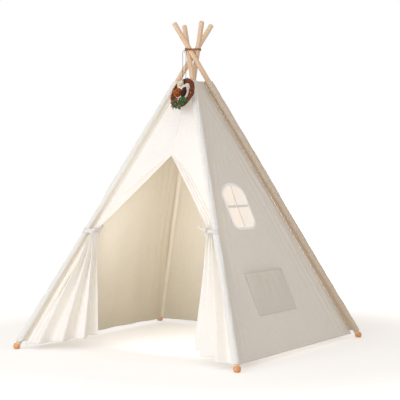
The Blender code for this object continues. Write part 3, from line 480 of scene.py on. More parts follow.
def petal_cream():
    r = Recipe("petal", 0.7, Subsurface_Weight=0.2, Subsurface_Scale=0.003, Sheen_Weight=0.2)
    fibre = r.noise((500,) * 3, 4, 0.6)
    r.bump(fibre, 0.0004)
    deep, mid, pale = linear(222, 204, 168), linear(247, 238, 214), linear(254, 250, 236)
    return r.finish(r.ramp(fibre, (0.25, deep), (0.55, mid), (0.8, pale)))


# Meshes


def link(name, mesh, body, slot, *looks):
    """Adds a finished mesh, riding on a body if one is given."""
    for look in looks:
        mesh.materials.append(look)
    made = bpy.data.objects.new(name, mesh)
    bpy.context.scene.collection.objects.link(made)
    if body:
        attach(made, body)
    return made


def cloth_piece(name, grid, thickness, cloth, seam, towards, body, slot, outer, inner=None, **options):
    """A closed sheet with a look for its outer and one for its inner skin."""
    mesh = cloth_mesh(name, grid, thickness, cloth, seam, towards, **options)
    return link(name, mesh, body, slot, outer, inner or outer)


def pairs(a, b):
    """Two coordinates for each point of a grid."""
    return np.stack(np.broadcast_arrays(a, b), axis=-1)


def angles(count):
    return [2 * math.pi * k / count for k in range(count)]


def run_along(points):
    """How far each point of a line lies from its first."""
    return np.concatenate([[0], np.cumsum(np.linalg.norm(np.diff(points, axis=0), axis=1))])


def tube_faces(rings, sides, closed=False):
    """The faces between rings of points, with both ends shut unless they meet."""
    faces = []
    for i in range(rings if closed else rings - 1):
        a, b = i * sides, (i + 1) % rings * sides
        faces += [(a + s, a + (s + 1) % sides, b + (s + 1) % sides, b + s) for s in range(sides)]
    if not closed:
        faces.append(tuple(reversed(range(sides))))
        faces.append(tuple(range((rings - 1) * sides, rings * sides)))
    return faces


def layer_faces(rows, columns):
    """The faces of a closed plate between two equal grids of points, the front one first."""
    count = rows * columns
    faces = []
    for r in range(rows - 1):
        for c in range(columns - 1):
            a = r * columns + c
            faces.append((a, a + columns, a + columns + 1, a + 1))
            faces.append(tuple(i + count for i in (a, a + 1, a + columns + 1, a + columns)))
    last = count - columns
    rim = [*range(columns), *range(2 * columns - 1, count, columns)]
    rim += [*range(count - 2, last - 1, -1), *range(last - columns, 0, -columns)]
    faces += [(a, b, b + count, a + count) for a, b in zip(rim, rim[1:] + rim[:1])]
    return faces


def mesh_of(name, points, faces, smooth=True):
    mesh = bpy.data.meshes.new(name)
    mesh.from_pydata([tuple(p) for p in points], [], [tuple(f) for f in faces])
    mesh.validate()
    if smooth:
        mesh.shade_smooth()
    return mesh


def set_uv(mesh, name, values):
    """Lays a value per point, repeated over the skins, on the corners of the faces."""
    layer = mesh.uv_layers.new(name=name)
    index = np.empty(len(mesh.loops), dtype=np.int64)
    mesh.loops.foreach_get("vertex_index", index)
    layer.data.foreach_set("uv", values[index % len(values)].astype(np.float32).ravel())


def unit(vectors):
    return vectors / np.maximum(np.linalg.norm(vectors, axis=2, keepdims=True), 1e-12)


def grid_normals(grid, towards):
    """Normals halfway between those on the left and right, on the side of one direction, or of
    one per point."""
    down = unit(np.gradient(grid, axis=0))
    along = unit(np.diff(grid, axis=1))
    left = unit(np.cross(np.concatenate([along[:, :1], along], axis=1), down))
    right = unit(np.cross(np.concatenate([along, along[:, -1:]], axis=1), down))
    normals = unit(left + right)
    if np.sum(normals * np.asarray(towards, dtype=float)) < 0:
        normals = -normals
    return normals


def cloth_mesh(name, grid, thickness, cloth, seam, towards, keep=None, middle=False):
    """A closed sheet: the grid is its outer skin, or its middle, and towards says which side is out.

    cloth and seam are coordinates in metres for the weave and the stitching, keep says which cells stay.
    """
    rows, columns, _ = grid.shape
    normals = grid_normals(grid, towards)
    lift = 0.5 if middle else 0.0
    outer = grid + normals * thickness * lift
    inner = grid + normals * thickness * (lift - 1)
    count = rows * columns
    points = np.concatenate([outer.reshape(-1, 3), inner.reshape(-1, 3)])
    index = np.arange(count).reshape(rows, columns)
    quads = np.stack([index[:-1, :-1], index[1:, :-1], index[1:, 1:], index[:-1, 1:]], axis=-1)
    quads = quads[keep] if keep is not None else quads.reshape(-1, 4)
    a, b, c = (outer.reshape(-1, 3)[quads[0, k]] for k in (0, 1, 2))
    if np.dot(np.cross(b - a, c - b), normals.reshape(-1, 3)[quads[0, 0]]) < 0:
        quads = quads[:, ::-1]
    edges = np.concatenate([quads[:, [k, (k + 1) % 4]] for k in range(4)])
    keys = np.sort(edges, axis=1)
    keys = keys[:, 0] * count + keys[:, 1]
    _, first, counts = np.unique(keys, return_index=True, return_counts=True)
    rim = edges[first[counts == 1]]
    sides = np.stack([rim[:, 1], rim[:, 0], rim[:, 0] + count, rim[:, 1] + count], axis=-1)
    faces = np.concatenate([quads, quads[:, ::-1] + count, sides])
    used = np.unique(faces)
    fresh = np.full(2 * count, -1)
    fresh[used] = np.arange(len(used))
    mesh = bpy.data.meshes.new(name)
    mesh.from_pydata(points[used].tolist(), [], fresh[faces].tolist())
    skin = np.zeros(len(faces), dtype=np.int32)
    skin[len(quads) : 2 * len(quads)] = 1
    mesh.polygons.foreach_set("material_index", skin)
    mesh.shade_smooth()
    for layer, values in (("cloth", cloth), ("seam", seam)):
        flat = np.asarray(values, dtype=float).reshape(-1, 2)
        set_uv(mesh, layer, np.concatenate([flat, flat])[used])
    return mesh


def tube_mesh(path, radius_at, sides=10, closed=False, up=Vector((0, 0, 1))):
    """A tube along a path; radius_at(along, around) shapes its surface."""
    path = [Vector(p) for p in path]
    count = len(path)
    tangents = []
    for i in range(count):
        ahead = path[(i + 1) % count] if closed else path[min(i + 1, count - 1)]
        behind = path[i - 1] if closed or i else path[0]
        tangents.append((ahead - behind).normalized())
    side = tangents[0].cross(up)
    if side.length < 1e-3:
        side = tangents[0].cross(Vector((1, 0, 0)))
    side.normalize()
    points = []
    run = 0.0
    for i, (spot, tangent) in enumerate(zip(path, tangents)):
        if i:
            run += (spot - path[i - 1]).length
        side = (side - tangent * side.dot(tangent)).normalized()
        lift = tangent.cross(side)
        for angle in angles(sides):
            reach = radius_at(run, angle)
            points.append(spot + side * (reach * math.cos(angle)) + lift * (reach * math.sin(angle)))
    return points, tube_faces(count, sides, closed)


def join(parts):
    """Joins lists of (points, faces) into one."""
    points, faces = [], []
    for some, more in parts:
        start = len(points)
        points += [Vector(p) for p in some]
        faces += [tuple(i + start for i in face) for face in more]
    return points, faces


def moved(parts, place):
    points, faces = parts
    return [place @ Vector(p) for p in points], faces


STRANDS = 3
STRAND_DEPTH = 0.16


def twist(radius, lay):
    """The surface of a rope: strands that turn once in each lay of its length."""
    def radius_at(run, angle):
        bulge = abs(math.cos(STRANDS / 2 * (angle - 2 * math.pi * run / lay)))
        return radius * (1 - STRAND_DEPTH + STRAND_DEPTH * bulge)
    return radius_at


# Where the poles and the cover run


def line_distance(a, u, b, v):
    cross = u.cross(v)
    return abs((b - a).dot(cross)) / cross.length


def foot_point(corner):
    sx, sy = CORNERS[corner]
    return Vector((sx * HALF_SPACING, sy * HALF_SPACING, 0))


def crossing_point(corner, offset):
    sx, sy = CORNERS[corner]
    bearing = math.atan2(sy, sx)
    return Vector((offset * math.sin(bearing), -offset * math.cos(bearing), CROSSING_HEIGHT))


def crossing_offset():
    """The side distance at which neighbouring poles just clear each other."""
    offset = POLE_RADIUS
    for _ in range(12):
        lines = []
        for corner in ("front_left", "front_right"):
            start = crossing_point(corner, offset)
            lines.append((start, (start - foot_point(corner)).normalized()))
        spacing = line_distance(lines[0][0], lines[0][1], lines[1][0], lines[1][1])
        offset *= (POLE_DIAMETER + GAP) / spacing
    return offset


CROSSING_OFFSET = crossing_offset()


def pole_direction(corner):
    return (crossing_point(corner, CROSSING_OFFSET) - foot_point(corner)).normalized()


def pole_at_height(corner, height):
    along = pole_direction(corner)
    return foot_point(corner) + along * (float(height) / along.z)


def cover_half(height):
    part = (height - HEM_HEIGHT) / (COVER_TOP - HEM_HEIGHT)
    ends = []
    for level, flange in ((HEM_HEIGHT, FLANGE_HEM), (COVER_TOP, FLANGE_TOP)):
        pole_half = HALF_SPACING * (1 - level / CROSSING_HEIGHT)
        ends.append(pole_half - flange / math.sqrt(2))
    return ends[0] + (ends[1] - ends[0]) * part


SLOPE = (cover_half(HEM_HEIGHT) - cover_half(COVER_TOP)) / (COVER_TOP - HEM_HEIGHT)
COVER_LEAN = math.atan(SLOPE)
RISE = math.cos(COVER_LEAN)
OUTWARD = {"left": (-1, 0), "right": (1, 0), "back": (0, 1), "front": (0, -1)}


def side_normal(side):
    nx, ny = OUTWARD[side]
    return np.array([nx * RISE, ny * RISE, math.sin(COVER_LEAN)])


def wall_place(side, u, v, depth):
    """Points of a cover face: u along the hem, v a height, depth out of the face."""
    nx, ny = OUTWARD[side]
    u, v, depth = np.broadcast_arrays(*(np.asarray(x, dtype=float) for x in (u, v, depth)))
    half = cover_half(v)
    base = np.stack([nx * half + abs(ny) * u, ny * half + abs(nx) * u, v], axis=-1)
    return base + side_normal(side) * depth[..., None]


# Walls of the cover

# Heights of the walls' waves, with their lengths and how far from a seam they reach
BILLOW, BILLOW_SHIFT = 0.006, 0.8
PUCKER, PUCKER_PITCH, PUCKER_REACH = 0.0006, 0.019, 0.016
PUCKER_DRIFT, PUCKER_DRIFT_LENGTH = 2.2, 0.11
TENSION, TENSION_START, TENSION_REACH = 0.0022, 0.012, 0.11
TENSION_WIDTH, TENSION_LENGTH = 0.045, 0.55
SOFT_WAVE, SOFT_WIDTH, SOFT_LENGTH, SOFT_START = 0.0016, 0.26, 0.34, 0.05
HEM_WAVE, HEM_WAVE_WIDTH, HEM_WAVE_REACH = 0.0015, 0.30, 0.10
HEM_BAND, HEM_EDGE = 0.022, 0.002
HEM_STEP = 0.0006
WALL_CLOTH = 0.0011
WALL_SINK = CANVAS * 0.2
STEP_UP, EDGE_ROW = 0.0055, 0.001
WALL_COLUMNS = 96
CROWDING = 0.72         # below 1, the columns stand closer together at the seams
SEEDS = {"left": 11, "right": 23, "back": 37}


def wall_relief(side, u, v):
    """How far the cloth stands off the flat wall, mostly inwards."""
    seed = SEEDS[side]
    half = cover_half(v)
    edge = np.maximum(half - np.abs(u), 0.0)
    up = (v - HEM_HEIGHT) / (COVER_TOP - HEM_HEIGHT)
    free = smoothstep(edge / SOFT_START)
    billow = -BILLOW * (1 - (u / half) ** 2) * np.sin(math.pi * np.clip(1 - up, 0, 1) ** BILLOW_SHIFT)
    drift = PUCKER_DRIFT * ripples(v / PUCKER_DRIFT_LENGTH, np.sign(u), seed)
    pucker = PUCKER * np.exp(-edge / PUCKER_REACH) * np.sin(2 * math.pi * v / PUCKER_PITCH + drift)
    reach = np.exp(-edge / TENSION_REACH) * smoothstep(edge / TENSION_START)
    tension = TENSION * reach * ripples(edge / TENSION_WIDTH, v / TENSION_LENGTH, seed + 1)
    soft = SOFT_WAVE * free * ripples(u / SOFT_WIDTH, v / SOFT_LENGTH, seed + 2)
    low = np.exp(-(v - HEM_HEIGHT) / HEM_WAVE_REACH)
    hem = HEM_WAVE * free * low * ripples(u / HEM_WAVE_WIDTH, 0.0, seed + 3)
    band = HEM_STEP * smoothstep((HEM_HEIGHT + HEM_BAND - v) / HEM_EDGE)
    return billow + pucker + tension + soft + hem + band


def edge_rows(low, high, step, details):
    """Evenly spaced places from low to high with a few extra ones."""
    even = np.linspace(low, high, max(2, round((high - low) / step) + 1))
    return np.unique(np.concatenate([even, [d for d in details if low < d < high]]).round(6))


def wall_grid():
    band_top = HEM_HEIGHT + HEM_BAND
    details = [band_top - HEM_EDGE, band_top, COVER_TOP - EDGE_ROW]
    heights = edge_rows(HEM_HEIGHT, COVER_TOP, STEP_UP, details)
    spread = np.linspace(-1, 1, WALL_COLUMNS)
    spread = np.sign(spread) * np.abs(spread) ** CROWDING
    u = (cover_half(heights) - PANEL_INSET)[:, None] * spread[None, :]
    return u, np.repeat(heights[:, None], WALL_COLUMNS, axis=1)


def seam_layer(u, v):
    """Distance to the nearest seam or hem, and the way along it."""
    side = (cover_half(v) - np.abs(u)) * math.cos(SEAM_TILT)
    ends = np.minimum((v - HEM_HEIGHT) / RISE, (COVER_TOP - v) / RISE)
    return pairs(np.minimum(side, ends), np.where(side <= ends, v / RISE, u))


SEAM_TILT = math.atan(SLOPE * RISE)


def add_wall(side, outer, inner):
    u, v = wall_grid()
    grid = wall_place(side, u, v, wall_relief(side, u, v) - WALL_SINK)
    keep = None
    if side == "right":
        inside = window_distance(u, v) < WINDOW_CUT
        keep = ~(inside[:-1, :-1] | inside[1:, :-1] | inside[1:, 1:] | inside[:-1, 1:])
    body = None if side == "back" else side + "_side"
    wall = cloth_piece(
        side + "_wall", grid, WALL_CLOTH, pairs(u, v / RISE), seam_layer(u, v), side_normal(side), body,
        "cotton_canvas", outer, inner, keep=keep,
    )
    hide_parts(side + "_panel")
    return wall


# The window

WINDOW_CUT = 0.004
OUTLINE_POINTS = 160
CORNER_POINTS, ARCH_POINTS = 10, 28
BORDER_POINTS = 300
BORDER_CLOTH, BORDER_FLAT = 0.0009, 0.016
GATHER, GATHER_LENGTH = 0.0008, 0.013
PUFF, PUFF_LENGTH = 0.22, 0.011
# How high the border stands off the wall, from its inner to its outer edge
BORDER_PROFILE = (
    (0.0, 0.0002), (0.02, 0.0013), (0.16, 0.0026), (0.4, 0.0030), (0.66, 0.0025), (0.9, 0.0016),
    (1.0, 0.0004),
)
BAR_CLOTH = 0.0011
BAR_LEVEL_WIDTH, BAR_UPRIGHT_WIDTH = 0.0105, 0.0068
BAR_LEVEL_LIFT = 0.0010
BAR_LONG, BAR_WIDE = 40, 7
BAR_END = 0.001
BAR_BULGE, BAR_BULGE_LENGTH = 0.10, 0.03
BAR_WAVE, BAR_WAVE_LENGTH, BAR_SAG = 0.0004, 0.02, 0.0008
VOILE_CLOTH = 0.0005
VOILE_MARGIN = 0.011
VOILE_OUTLINE_POINTS = 240
VOILE_ROWS, VOILE_COLUMNS = 60, 180
VOILE_DEPTH, VOILE_END = 0.0016, 0.0015
PLEAT, PLEAT_PITCH = 0.0009, 0.0105
PLEAT_DRIFT, PLEAT_DRIFT_LENGTH, PLEAT_DRIFT_WIDTH = 0.8, 0.09, 0.05


def window_outline(grow):
    """The arched window with rounded lower corners, as (u, height), grown outwards."""
    half = WINDOW_WIDTH / 2 + grow
    low = -WINDOW_HEIGHT / 2 - grow
    high = WINDOW_HEIGHT / 2 + grow
    corner = WINDOW_CORNER + grow
    spring = high - WINDOW_ARCH - grow
    points = []
    for centre, start in ((-half + corner, math.pi), (half - corner, 1.5 * math.pi)):
        for step in range(CORNER_POINTS):
            angle = start + math.pi / 2 * step / (CORNER_POINTS - 1)
            points.append((centre + corner * math.cos(angle), low + corner + corner * math.sin(angle)))
    for step in range(ARCH_POINTS):
        angle = math.pi * step / (ARCH_POINTS - 1)
        points.append((half * math.cos(angle), spring + (high - spring) * math.sin(angle)))
    return np.array([(WINDOW_CENTRE_Y + a, WINDOW_CENTRE_HEIGHT + b * RISE) for a, b in points])


def even_loop(grow, count):
    """The window's outline with this many evenly spaced points, laid flat, and its length."""
    outline = window_outline(grow)
    closed = np.concatenate([outline, outline[:1]])
    run = run_along(closed * [1, 1 / RISE])
    at = np.linspace(0, run[-1], count, endpoint=False)
    even = np.stack([np.interp(at, run, closed[:, k]) for k in (0, 1)], axis=-1)
    return even / [1, RISE], run[-1]


def window_distance(u, v):
    """Distance from the window's outline, negative inside it."""
    ring, _ = even_loop(0, OUTLINE_POINTS)
    flat = pairs(u, v / RISE)[..., None, :]
    nearest = np.min(np.linalg.norm(flat - ring, axis=-1), axis=-1)
    rel_u = u - WINDOW_CENTRE_Y
    rel_v = (v - WINDOW_CENTRE_HEIGHT) / RISE
    ring_u, ring_v = ring[:, 0] - WINDOW_CENTRE_Y, ring[:, 1] - WINDOW_CENTRE_HEIGHT / RISE
    ring_angle = np.arctan2(ring_v, ring_u)
    order = np.argsort(ring_angle)
    limit = np.interp(
        np.arctan2(rel_v, rel_u), ring_angle[order], np.hypot(ring_v, ring_u)[order], period=2 * math.pi
    )
    return np.where(np.hypot(rel_u, rel_v) < limit, -nearest, nearest)


def add_window_binding(look):
    """A soft gathered border sewn round the hole."""
    count = BORDER_POINTS
    flat, length = even_loop(0, count)
    tangent = np.roll(flat, -1, axis=0) - np.roll(flat, 1, axis=0)
    tangent /= np.linalg.norm(tangent, axis=1, keepdims=True)
    out = np.stack([tangent[:, 1], -tangent[:, 0]], axis=-1)
    run = np.linspace(0, length, count, endpoint=False)
    wide = BINDING_WIDTH - BINDING_OVERLAP + GATHER * ripples(run / GATHER_LENGTH, 0.0, 5)
    points, cloth, seam = [], [], []
    for share, height in BORDER_PROFILE:
        reach = -BINDING_OVERLAP + share * (wide + BINDING_OVERLAP)
        spot = flat + out * reach[:, None]
        lift = height * (1 + PUFF * ripples(run / PUFF_LENGTH, share * 2.0, 6))
        u, v = spot[:, 0], spot[:, 1] * RISE
        points.append(wall_place("right", u, v, wall_relief("right", u, v) + lift))
        cloth.append(pairs(run, share * BINDING_WIDTH))
        seam.append(pairs(share * BINDING_WIDTH, run))
    # The ring is closed by its first column again, one length further on
    grid, cloth, seam = (
        np.concatenate([part, np.array(part)[:, :1] + shift], axis=1)
        for part, shift in ((points, 0), (cloth, [length, 0]), (seam, [0, length]))
    )
    border = cloth_piece(
        "window_border", grid, BORDER_CLOTH, cloth, seam, side_normal("right"), "right_side",
        "binding_cotton", look,
    )
    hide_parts("window_binding")


def window_bar(name, ends, width, lift, look, seed):
    """A soft flat strip on the right wall between two (u, height) points."""
    (u0, v0), (u1, v1) = ends
    t = np.linspace(0, 1, BAR_LONG)[:, None]
    s = np.linspace(-0.5, 0.5, BAR_WIDE)[None, :]
    direction = np.array([u1 - u0, (v1 - v0) / RISE])
    length = np.linalg.norm(direction)
    direction /= length
    bulge = width * (1 + BAR_BULGE * ripples(t * length / BAR_BULGE_LENGTH, 0.0, seed))
    u = u0 + (u1 - u0) * t - direction[1] * bulge * s
    v = v0 + (v1 - v0) * t + direction[0] * bulge * s * RISE
    soft = BAR_WAVE * ripples(t * length / BAR_WAVE_LENGTH, s * 1.0, seed + 1)
    depth = wall_relief("right", u, v) + lift + soft - BAR_SAG * np.sin(math.pi * t)
    strip = cloth_piece(
        name, wall_place("right", u, v, depth), BAR_CLOTH, pairs(t * length, s * width),
        pairs((0.5 - np.abs(s)) * width, t * length), side_normal("right"), "right_side",
        "cotton_canvas", look,
    )
    return strip


def add_muntins(look):
    y, z = WINDOW_CENTRE_Y, WINDOW_CENTRE_HEIGHT
    reach = WINDOW_WIDTH / 2 - BAR_END
    rise = (WINDOW_HEIGHT / 2 - BAR_END) * RISE
    bar = window_bar(
        "window_bar_level", ((y - reach, z), (y + reach, z)), BAR_LEVEL_WIDTH, BAR_LEVEL_LIFT, look,
        71,
    )
    window_bar(
        "window_bar_upright", ((y, z - rise), (y, z + rise)), BAR_UPRIGHT_WIDTH, 0.0, look,
        73,
    )
    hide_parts("window_muntins")


def add_voile(look):
    flat, _ = even_loop(VOILE_MARGIN, VOILE_OUTLINE_POINTS)
    low, high = flat[:, 1].min(), flat[:, 1].max()
    grid_u, grid_v = [], []
    for share in np.linspace(0.0, 1.0, VOILE_ROWS):
        height = lerp(low + VOILE_END, high - VOILE_END, share)
        crossings = []
        for (a, b), (c, d) in zip(flat, np.roll(flat, -1, axis=0)):
            if (b - height) * (d - height) < 0:
                crossings.append(a + (c - a) * (height - b) / (d - b))
        grid_u.append(np.linspace(min(crossings), max(crossings), VOILE_COLUMNS))
        grid_v.append(np.full(VOILE_COLUMNS, height * RISE))
    u, v = np.array(grid_u), np.array(grid_v)
    drift = PLEAT_DRIFT * ripples(v / PLEAT_DRIFT_LENGTH, u / PLEAT_DRIFT_WIDTH, 81)
    pleat = PLEAT * np.sin(2 * math.pi * u / PLEAT_PITCH + drift)
    depth = wall_relief("right", u, v) - WALL_SINK - WALL_CLOTH - VOILE_DEPTH + pleat
    cloth = pairs(u, v / RISE)
    pane = cloth_piece(
        "window_pane", wall_place("right", u, v, depth), VOILE_CLOTH, cloth, cloth, side_normal("right"),
        "right_side", "voile", look,
    )
    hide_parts("window_voile")


# The pocket

POCKET_CLOTH = 0.0010
POCKET_LIFT = 0.0014
POCKET_FILL = 0.96      # of the model's fullness, which the cloth stays inside
DRAPE, DRAPE_ACROSS, DRAPE_UP = 0.0016, 2.2, 0.7
POCKET_ROWS, POCKET_COLUMNS = 44, 78
MOUTH_HEM, MOUTH_HEM_FADE = 0.905, 0.01     # shares of the height at which the mouth's hem begins
MOUTH_SAG = 0.004


def add_pocket(look):
    up = np.linspace(1, 0, POCKET_ROWS)[:, None]
    side = np.linspace(-1, 1, POCKET_COLUMNS)[None, :]
    full = np.sin(math.pi / 2 * up) * np.maximum(1 - side**4, 0) ** 0.5
    drape = DRAPE * ripples(side * DRAPE_ACROSS, up * DRAPE_UP, 91) * full
    sag = MOUTH_SAG * up**6 * (1 - side**2)
    u, v = np.broadcast_arrays(
        POCKET_CENTRE_Y + side * POCKET_WIDTH / 2, POCKET_FOOT_HEIGHT + (up * POCKET_HEIGHT - sag) * RISE
    )
    hem = HEM_STEP * smoothstep((up - MOUTH_HEM) / MOUTH_HEM_FADE)
    lift = POCKET_LIFT + POCKET_FULLNESS * full * POCKET_FILL + drape + hem
    grid = wall_place("right", u, v, wall_relief("right", u, v) + lift)
    to_side = (1 - np.abs(side)) * POCKET_WIDTH / 2
    to_edge = np.minimum(np.minimum(to_side, up * POCKET_HEIGHT), (1 - up) * POCKET_HEIGHT)
    seam = pairs(to_edge, np.where(to_side <= to_edge + 1e-9, v / RISE, u))
    patch = cloth_piece(
        "pocket_patch", grid, POCKET_CLOTH, pairs(u, v / RISE), seam, side_normal("right"), "right_side",
        "cotton_canvas", look,
    )
    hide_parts("pocket")


# Corner channels that the poles run in

CHANNEL_CLOTH = 0.0009
CHANNEL_WAVE, CHANNEL_WAVE_LENGTH, CHANNEL_WAVE_TURNS = 0.0009, 0.030, 0.8
CHANNEL_CREASE, CHANNEL_CREASE_LENGTH, CHANNEL_CREASE_TURN = 0.0013, 0.20, 2.0
CHANNEL_FREE = 1.6
CHANNEL_STEP = 0.0075
CHANNEL_OPEN = math.radians(48)
CHANNEL_CLOSE = 0.011
CHANNEL_SHUT = 0.0012
CHANNEL_SLACK = 0.0004
CHANNEL_FLAT_STEPS, CHANNEL_ROUND_STEPS = 14, 34


def channel_section(corner, height):
    """The channel's outline at this height, from the seam, round the pole and back."""
    sx, sy = CORNERS[corner]
    centre = np.array(pole_at_height(corner, height))
    half = float(cover_half(height))
    along = pole_direction(corner)
    lean = np.array([along.x, along.y, 0.0])
    lean /= np.linalg.norm(lean)
    across = np.array([-lean[1], lean[0], 0.0])
    flange = np.array([sx * half, sy * half, height]) - centre
    reach = np.linalg.norm(flange)
    flange /= reach
    side = np.array([-flange[1], flange[0], 0.0])
    seed = list(CORNERS).index(corner) * 7 + 3
    start = SLEEVE_OUTER * math.cos(CHANNEL_OPEN)
    open_half = SLEEVE_OUTER * math.sin(CHANNEL_OPEN)

    def wall(sign, steps):
        for t in steps:
            d = lerp(start, reach, t)
            h = lerp(open_half, CHANNEL_SHUT, float(smoothstep((d - start) / CHANNEL_CLOSE)))
            points.append(centre + flange * d + side * sign * h)

    points = []
    flat_steps = np.linspace(1, 0, CHANNEL_FLAT_STEPS)
    wall(-1, flat_steps)
    facing = math.atan2(flange @ across, flange @ lean)
    stretch = 1 / along.z
    for step in range(1, CHANNEL_ROUND_STEPS):
        turn = CHANNEL_OPEN + (2 * math.pi - 2 * CHANNEL_OPEN) * step / CHANNEL_ROUND_STEPS
        angle = facing - turn
        free = float(smoothstep(np.sin(turn / 2) * CHANNEL_FREE))
        wave = ripples(height / CHANNEL_WAVE_LENGTH, math.sin(turn) * CHANNEL_WAVE_TURNS, seed)
        crease = ripples(height / CHANNEL_CREASE_LENGTH, turn / CHANNEL_CREASE_TURN, seed + 1)
        swell = CHANNEL_WAVE * abs(float(wave)) + CHANNEL_CREASE * abs(float(crease))
        r = SLEEVE_OUTER + CHANNEL_SLACK + swell * free
        points.append(centre + lean * (r * stretch * math.cos(angle)) + across * (r * math.sin(angle)))
    wall(1, flat_steps[::-1])
    return np.array(points), run_along(points)


def add_channel(corner, look):
    details = [SLEEVE_FOOT + EDGE_ROW, COVER_TOP - EDGE_ROW]
    heights = edge_rows(SLEEVE_FOOT, COVER_TOP, CHANNEL_STEP, details)
    grid, run = (np.array(part) for part in zip(*(channel_section(corner, float(h)) for h in heights)))
    slant = 1 / pole_direction(corner).z
    v = np.repeat((heights * slant)[:, None], run.shape[1], axis=1)
    ends = np.minimum((heights - SLEEVE_FOOT), (COVER_TOP - heights))[:, None] * slant
    edge = np.minimum(run, run[:, -1:] - run)
    seam = pairs(np.minimum(edge, ends), np.where(edge <= ends, v, run))
    centres = np.array([np.array(pole_at_height(corner, h)) for h in heights])[:, None, :]
    middle = grid.shape[1] // 2
    towards = np.zeros_like(grid)
    towards[:, middle] = (grid - centres)[:, middle]
    channel = cloth_piece(
        "channel_" + corner, grid, CHANNEL_CLOTH, pairs(run, v), seam, towards, side_of(corner),
        "sleeve_canvas", look,
    )
    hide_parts("sleeve_" + corner)


TAPE_WIDTH = 0.013
TAPE_TOP = 1.14         # higher up, the strips of both halves would meet when the tent folds
TAPE_CLOTH = 0.0008
TAPE_INSET, TAPE_FOOT, TAPE_STEP = 0.0050, 0.003, 0.012
TAPE_WAVE, TAPE_WAVE_LENGTH = 0.0005, 0.04
TAPE_SHARES = (-1, -0.75, -0.45, -0.2, 0, 0.2, 0.45, 0.75, 1)


def add_corner_tape(corner, look):
    """The strip that covers the seam inside a corner."""
    sx, sy = CORNERS[corner]
    heights = edge_rows(HEM_HEIGHT + TAPE_FOOT, TAPE_TOP, TAPE_STEP, [])
    seed = 200 + list(CORNERS).index(corner)
    rows = []
    for height in heights:
        inner = float(cover_half(height)) - TAPE_INSET
        row = []
        for share in TAPE_SHARES:
            wave = TAPE_WAVE * float(ripples(height / TAPE_WAVE_LENGTH, share, seed))
            away = abs(share) * TAPE_WIDTH
            along_x = away if share > 0 else 0.0
            along_y = away if share < 0 else 0.0
            row.append((sx * (inner - along_x + wave), sy * (inner - along_y + wave), height))
        rows.append(row)
    run, v = np.array(TAPE_SHARES) * TAPE_WIDTH, (heights / RISE)[:, None]
    tape = cloth_piece(
        "tape_" + corner, np.array(rows), TAPE_CLOTH, pairs(run, v), pairs(TAPE_WIDTH - np.abs(run), v),
        (-sx, -sy, 0), side_of(corner), "binding_cotton", look,
    )


# The curtains of the door

CURTAIN_ROWS = (30, 76, 92)
CURTAIN_COLUMNS = (44, 150)
CURTAIN_SHEET = 0.0011
CURTAIN_CREASE, CREASE_ACROSS, CREASE_DOWN = 0.0011, 9.0, 0.8
FOLD_DRIFT, FOLD_DRIFT_TURNS = 0.35, 1.3
BASE_POINTS = 240
SLIDE = 1e-3            # for the curtain's own direction at each place
# The plain part above the door: its waves, how deep it falls in and where both begin
PLAIN_WAVE, PLAIN_WIDTH, PLAIN_LENGTH = 0.0012, 0.10, 0.25
PLAIN_SINK, PLAIN_SINK_START = 0.002, 0.2
PLAIN_SIDE_START, PLAIN_TOP_START, PLAIN_REACH = 0.02, 0.05, 0.08
CREASE_START = 0.25


def seam_point(height):
    half = cover_half(height)
    return np.array([half - PANEL_INSET, -half + CANVAS / 2, height])


def tie_point(side):
    half = cover_half(TIE_HEIGHT[side])
    return np.array([half - TIE_INWARD, -half - TIE_FORWARD, TIE_HEIGHT[side]])


def free_edge_point(side, q):
    """The door edge: q runs from 0 at the apex through 1 at the tie to 2 at the hem."""
    apex = np.array([GAP, -cover_half(DOOR_APEX) + CANVAS / 2, DOOR_APEX])
    tie = tie_point(side)
    if q <= 1:
        sag = EDGE_BOW * math.sin(math.pi * q)
        return lerp(apex, tie, q) + np.array([sag, 0, -sag]) / math.sqrt(2)
    hem = np.array([tie[0] - FREE_CORNER_INWARD, tie[1] - FREE_CORNER_FORWARD, FREE_CORNER_HEIGHT])
    return lerp(tie, hem, q - 1)


def fold_height(run, cloth, folds):
    """The height of even sine folds that take up this cloth in this run."""
    if cloth <= run * 1.0001:
        return 0.0
    phase = np.linspace(0, 2 * math.pi * folds, 400)
    step = run / (len(phase) - 1)
    low, high = 0.0, FOLD_LIMIT * 3
    for _ in range(24):
        middle = (low + high) / 2
        if np.sum(np.hypot(step, np.diff(middle * np.sin(phase)))) < cloth:
            low = middle
        else:
            high = middle
    return low


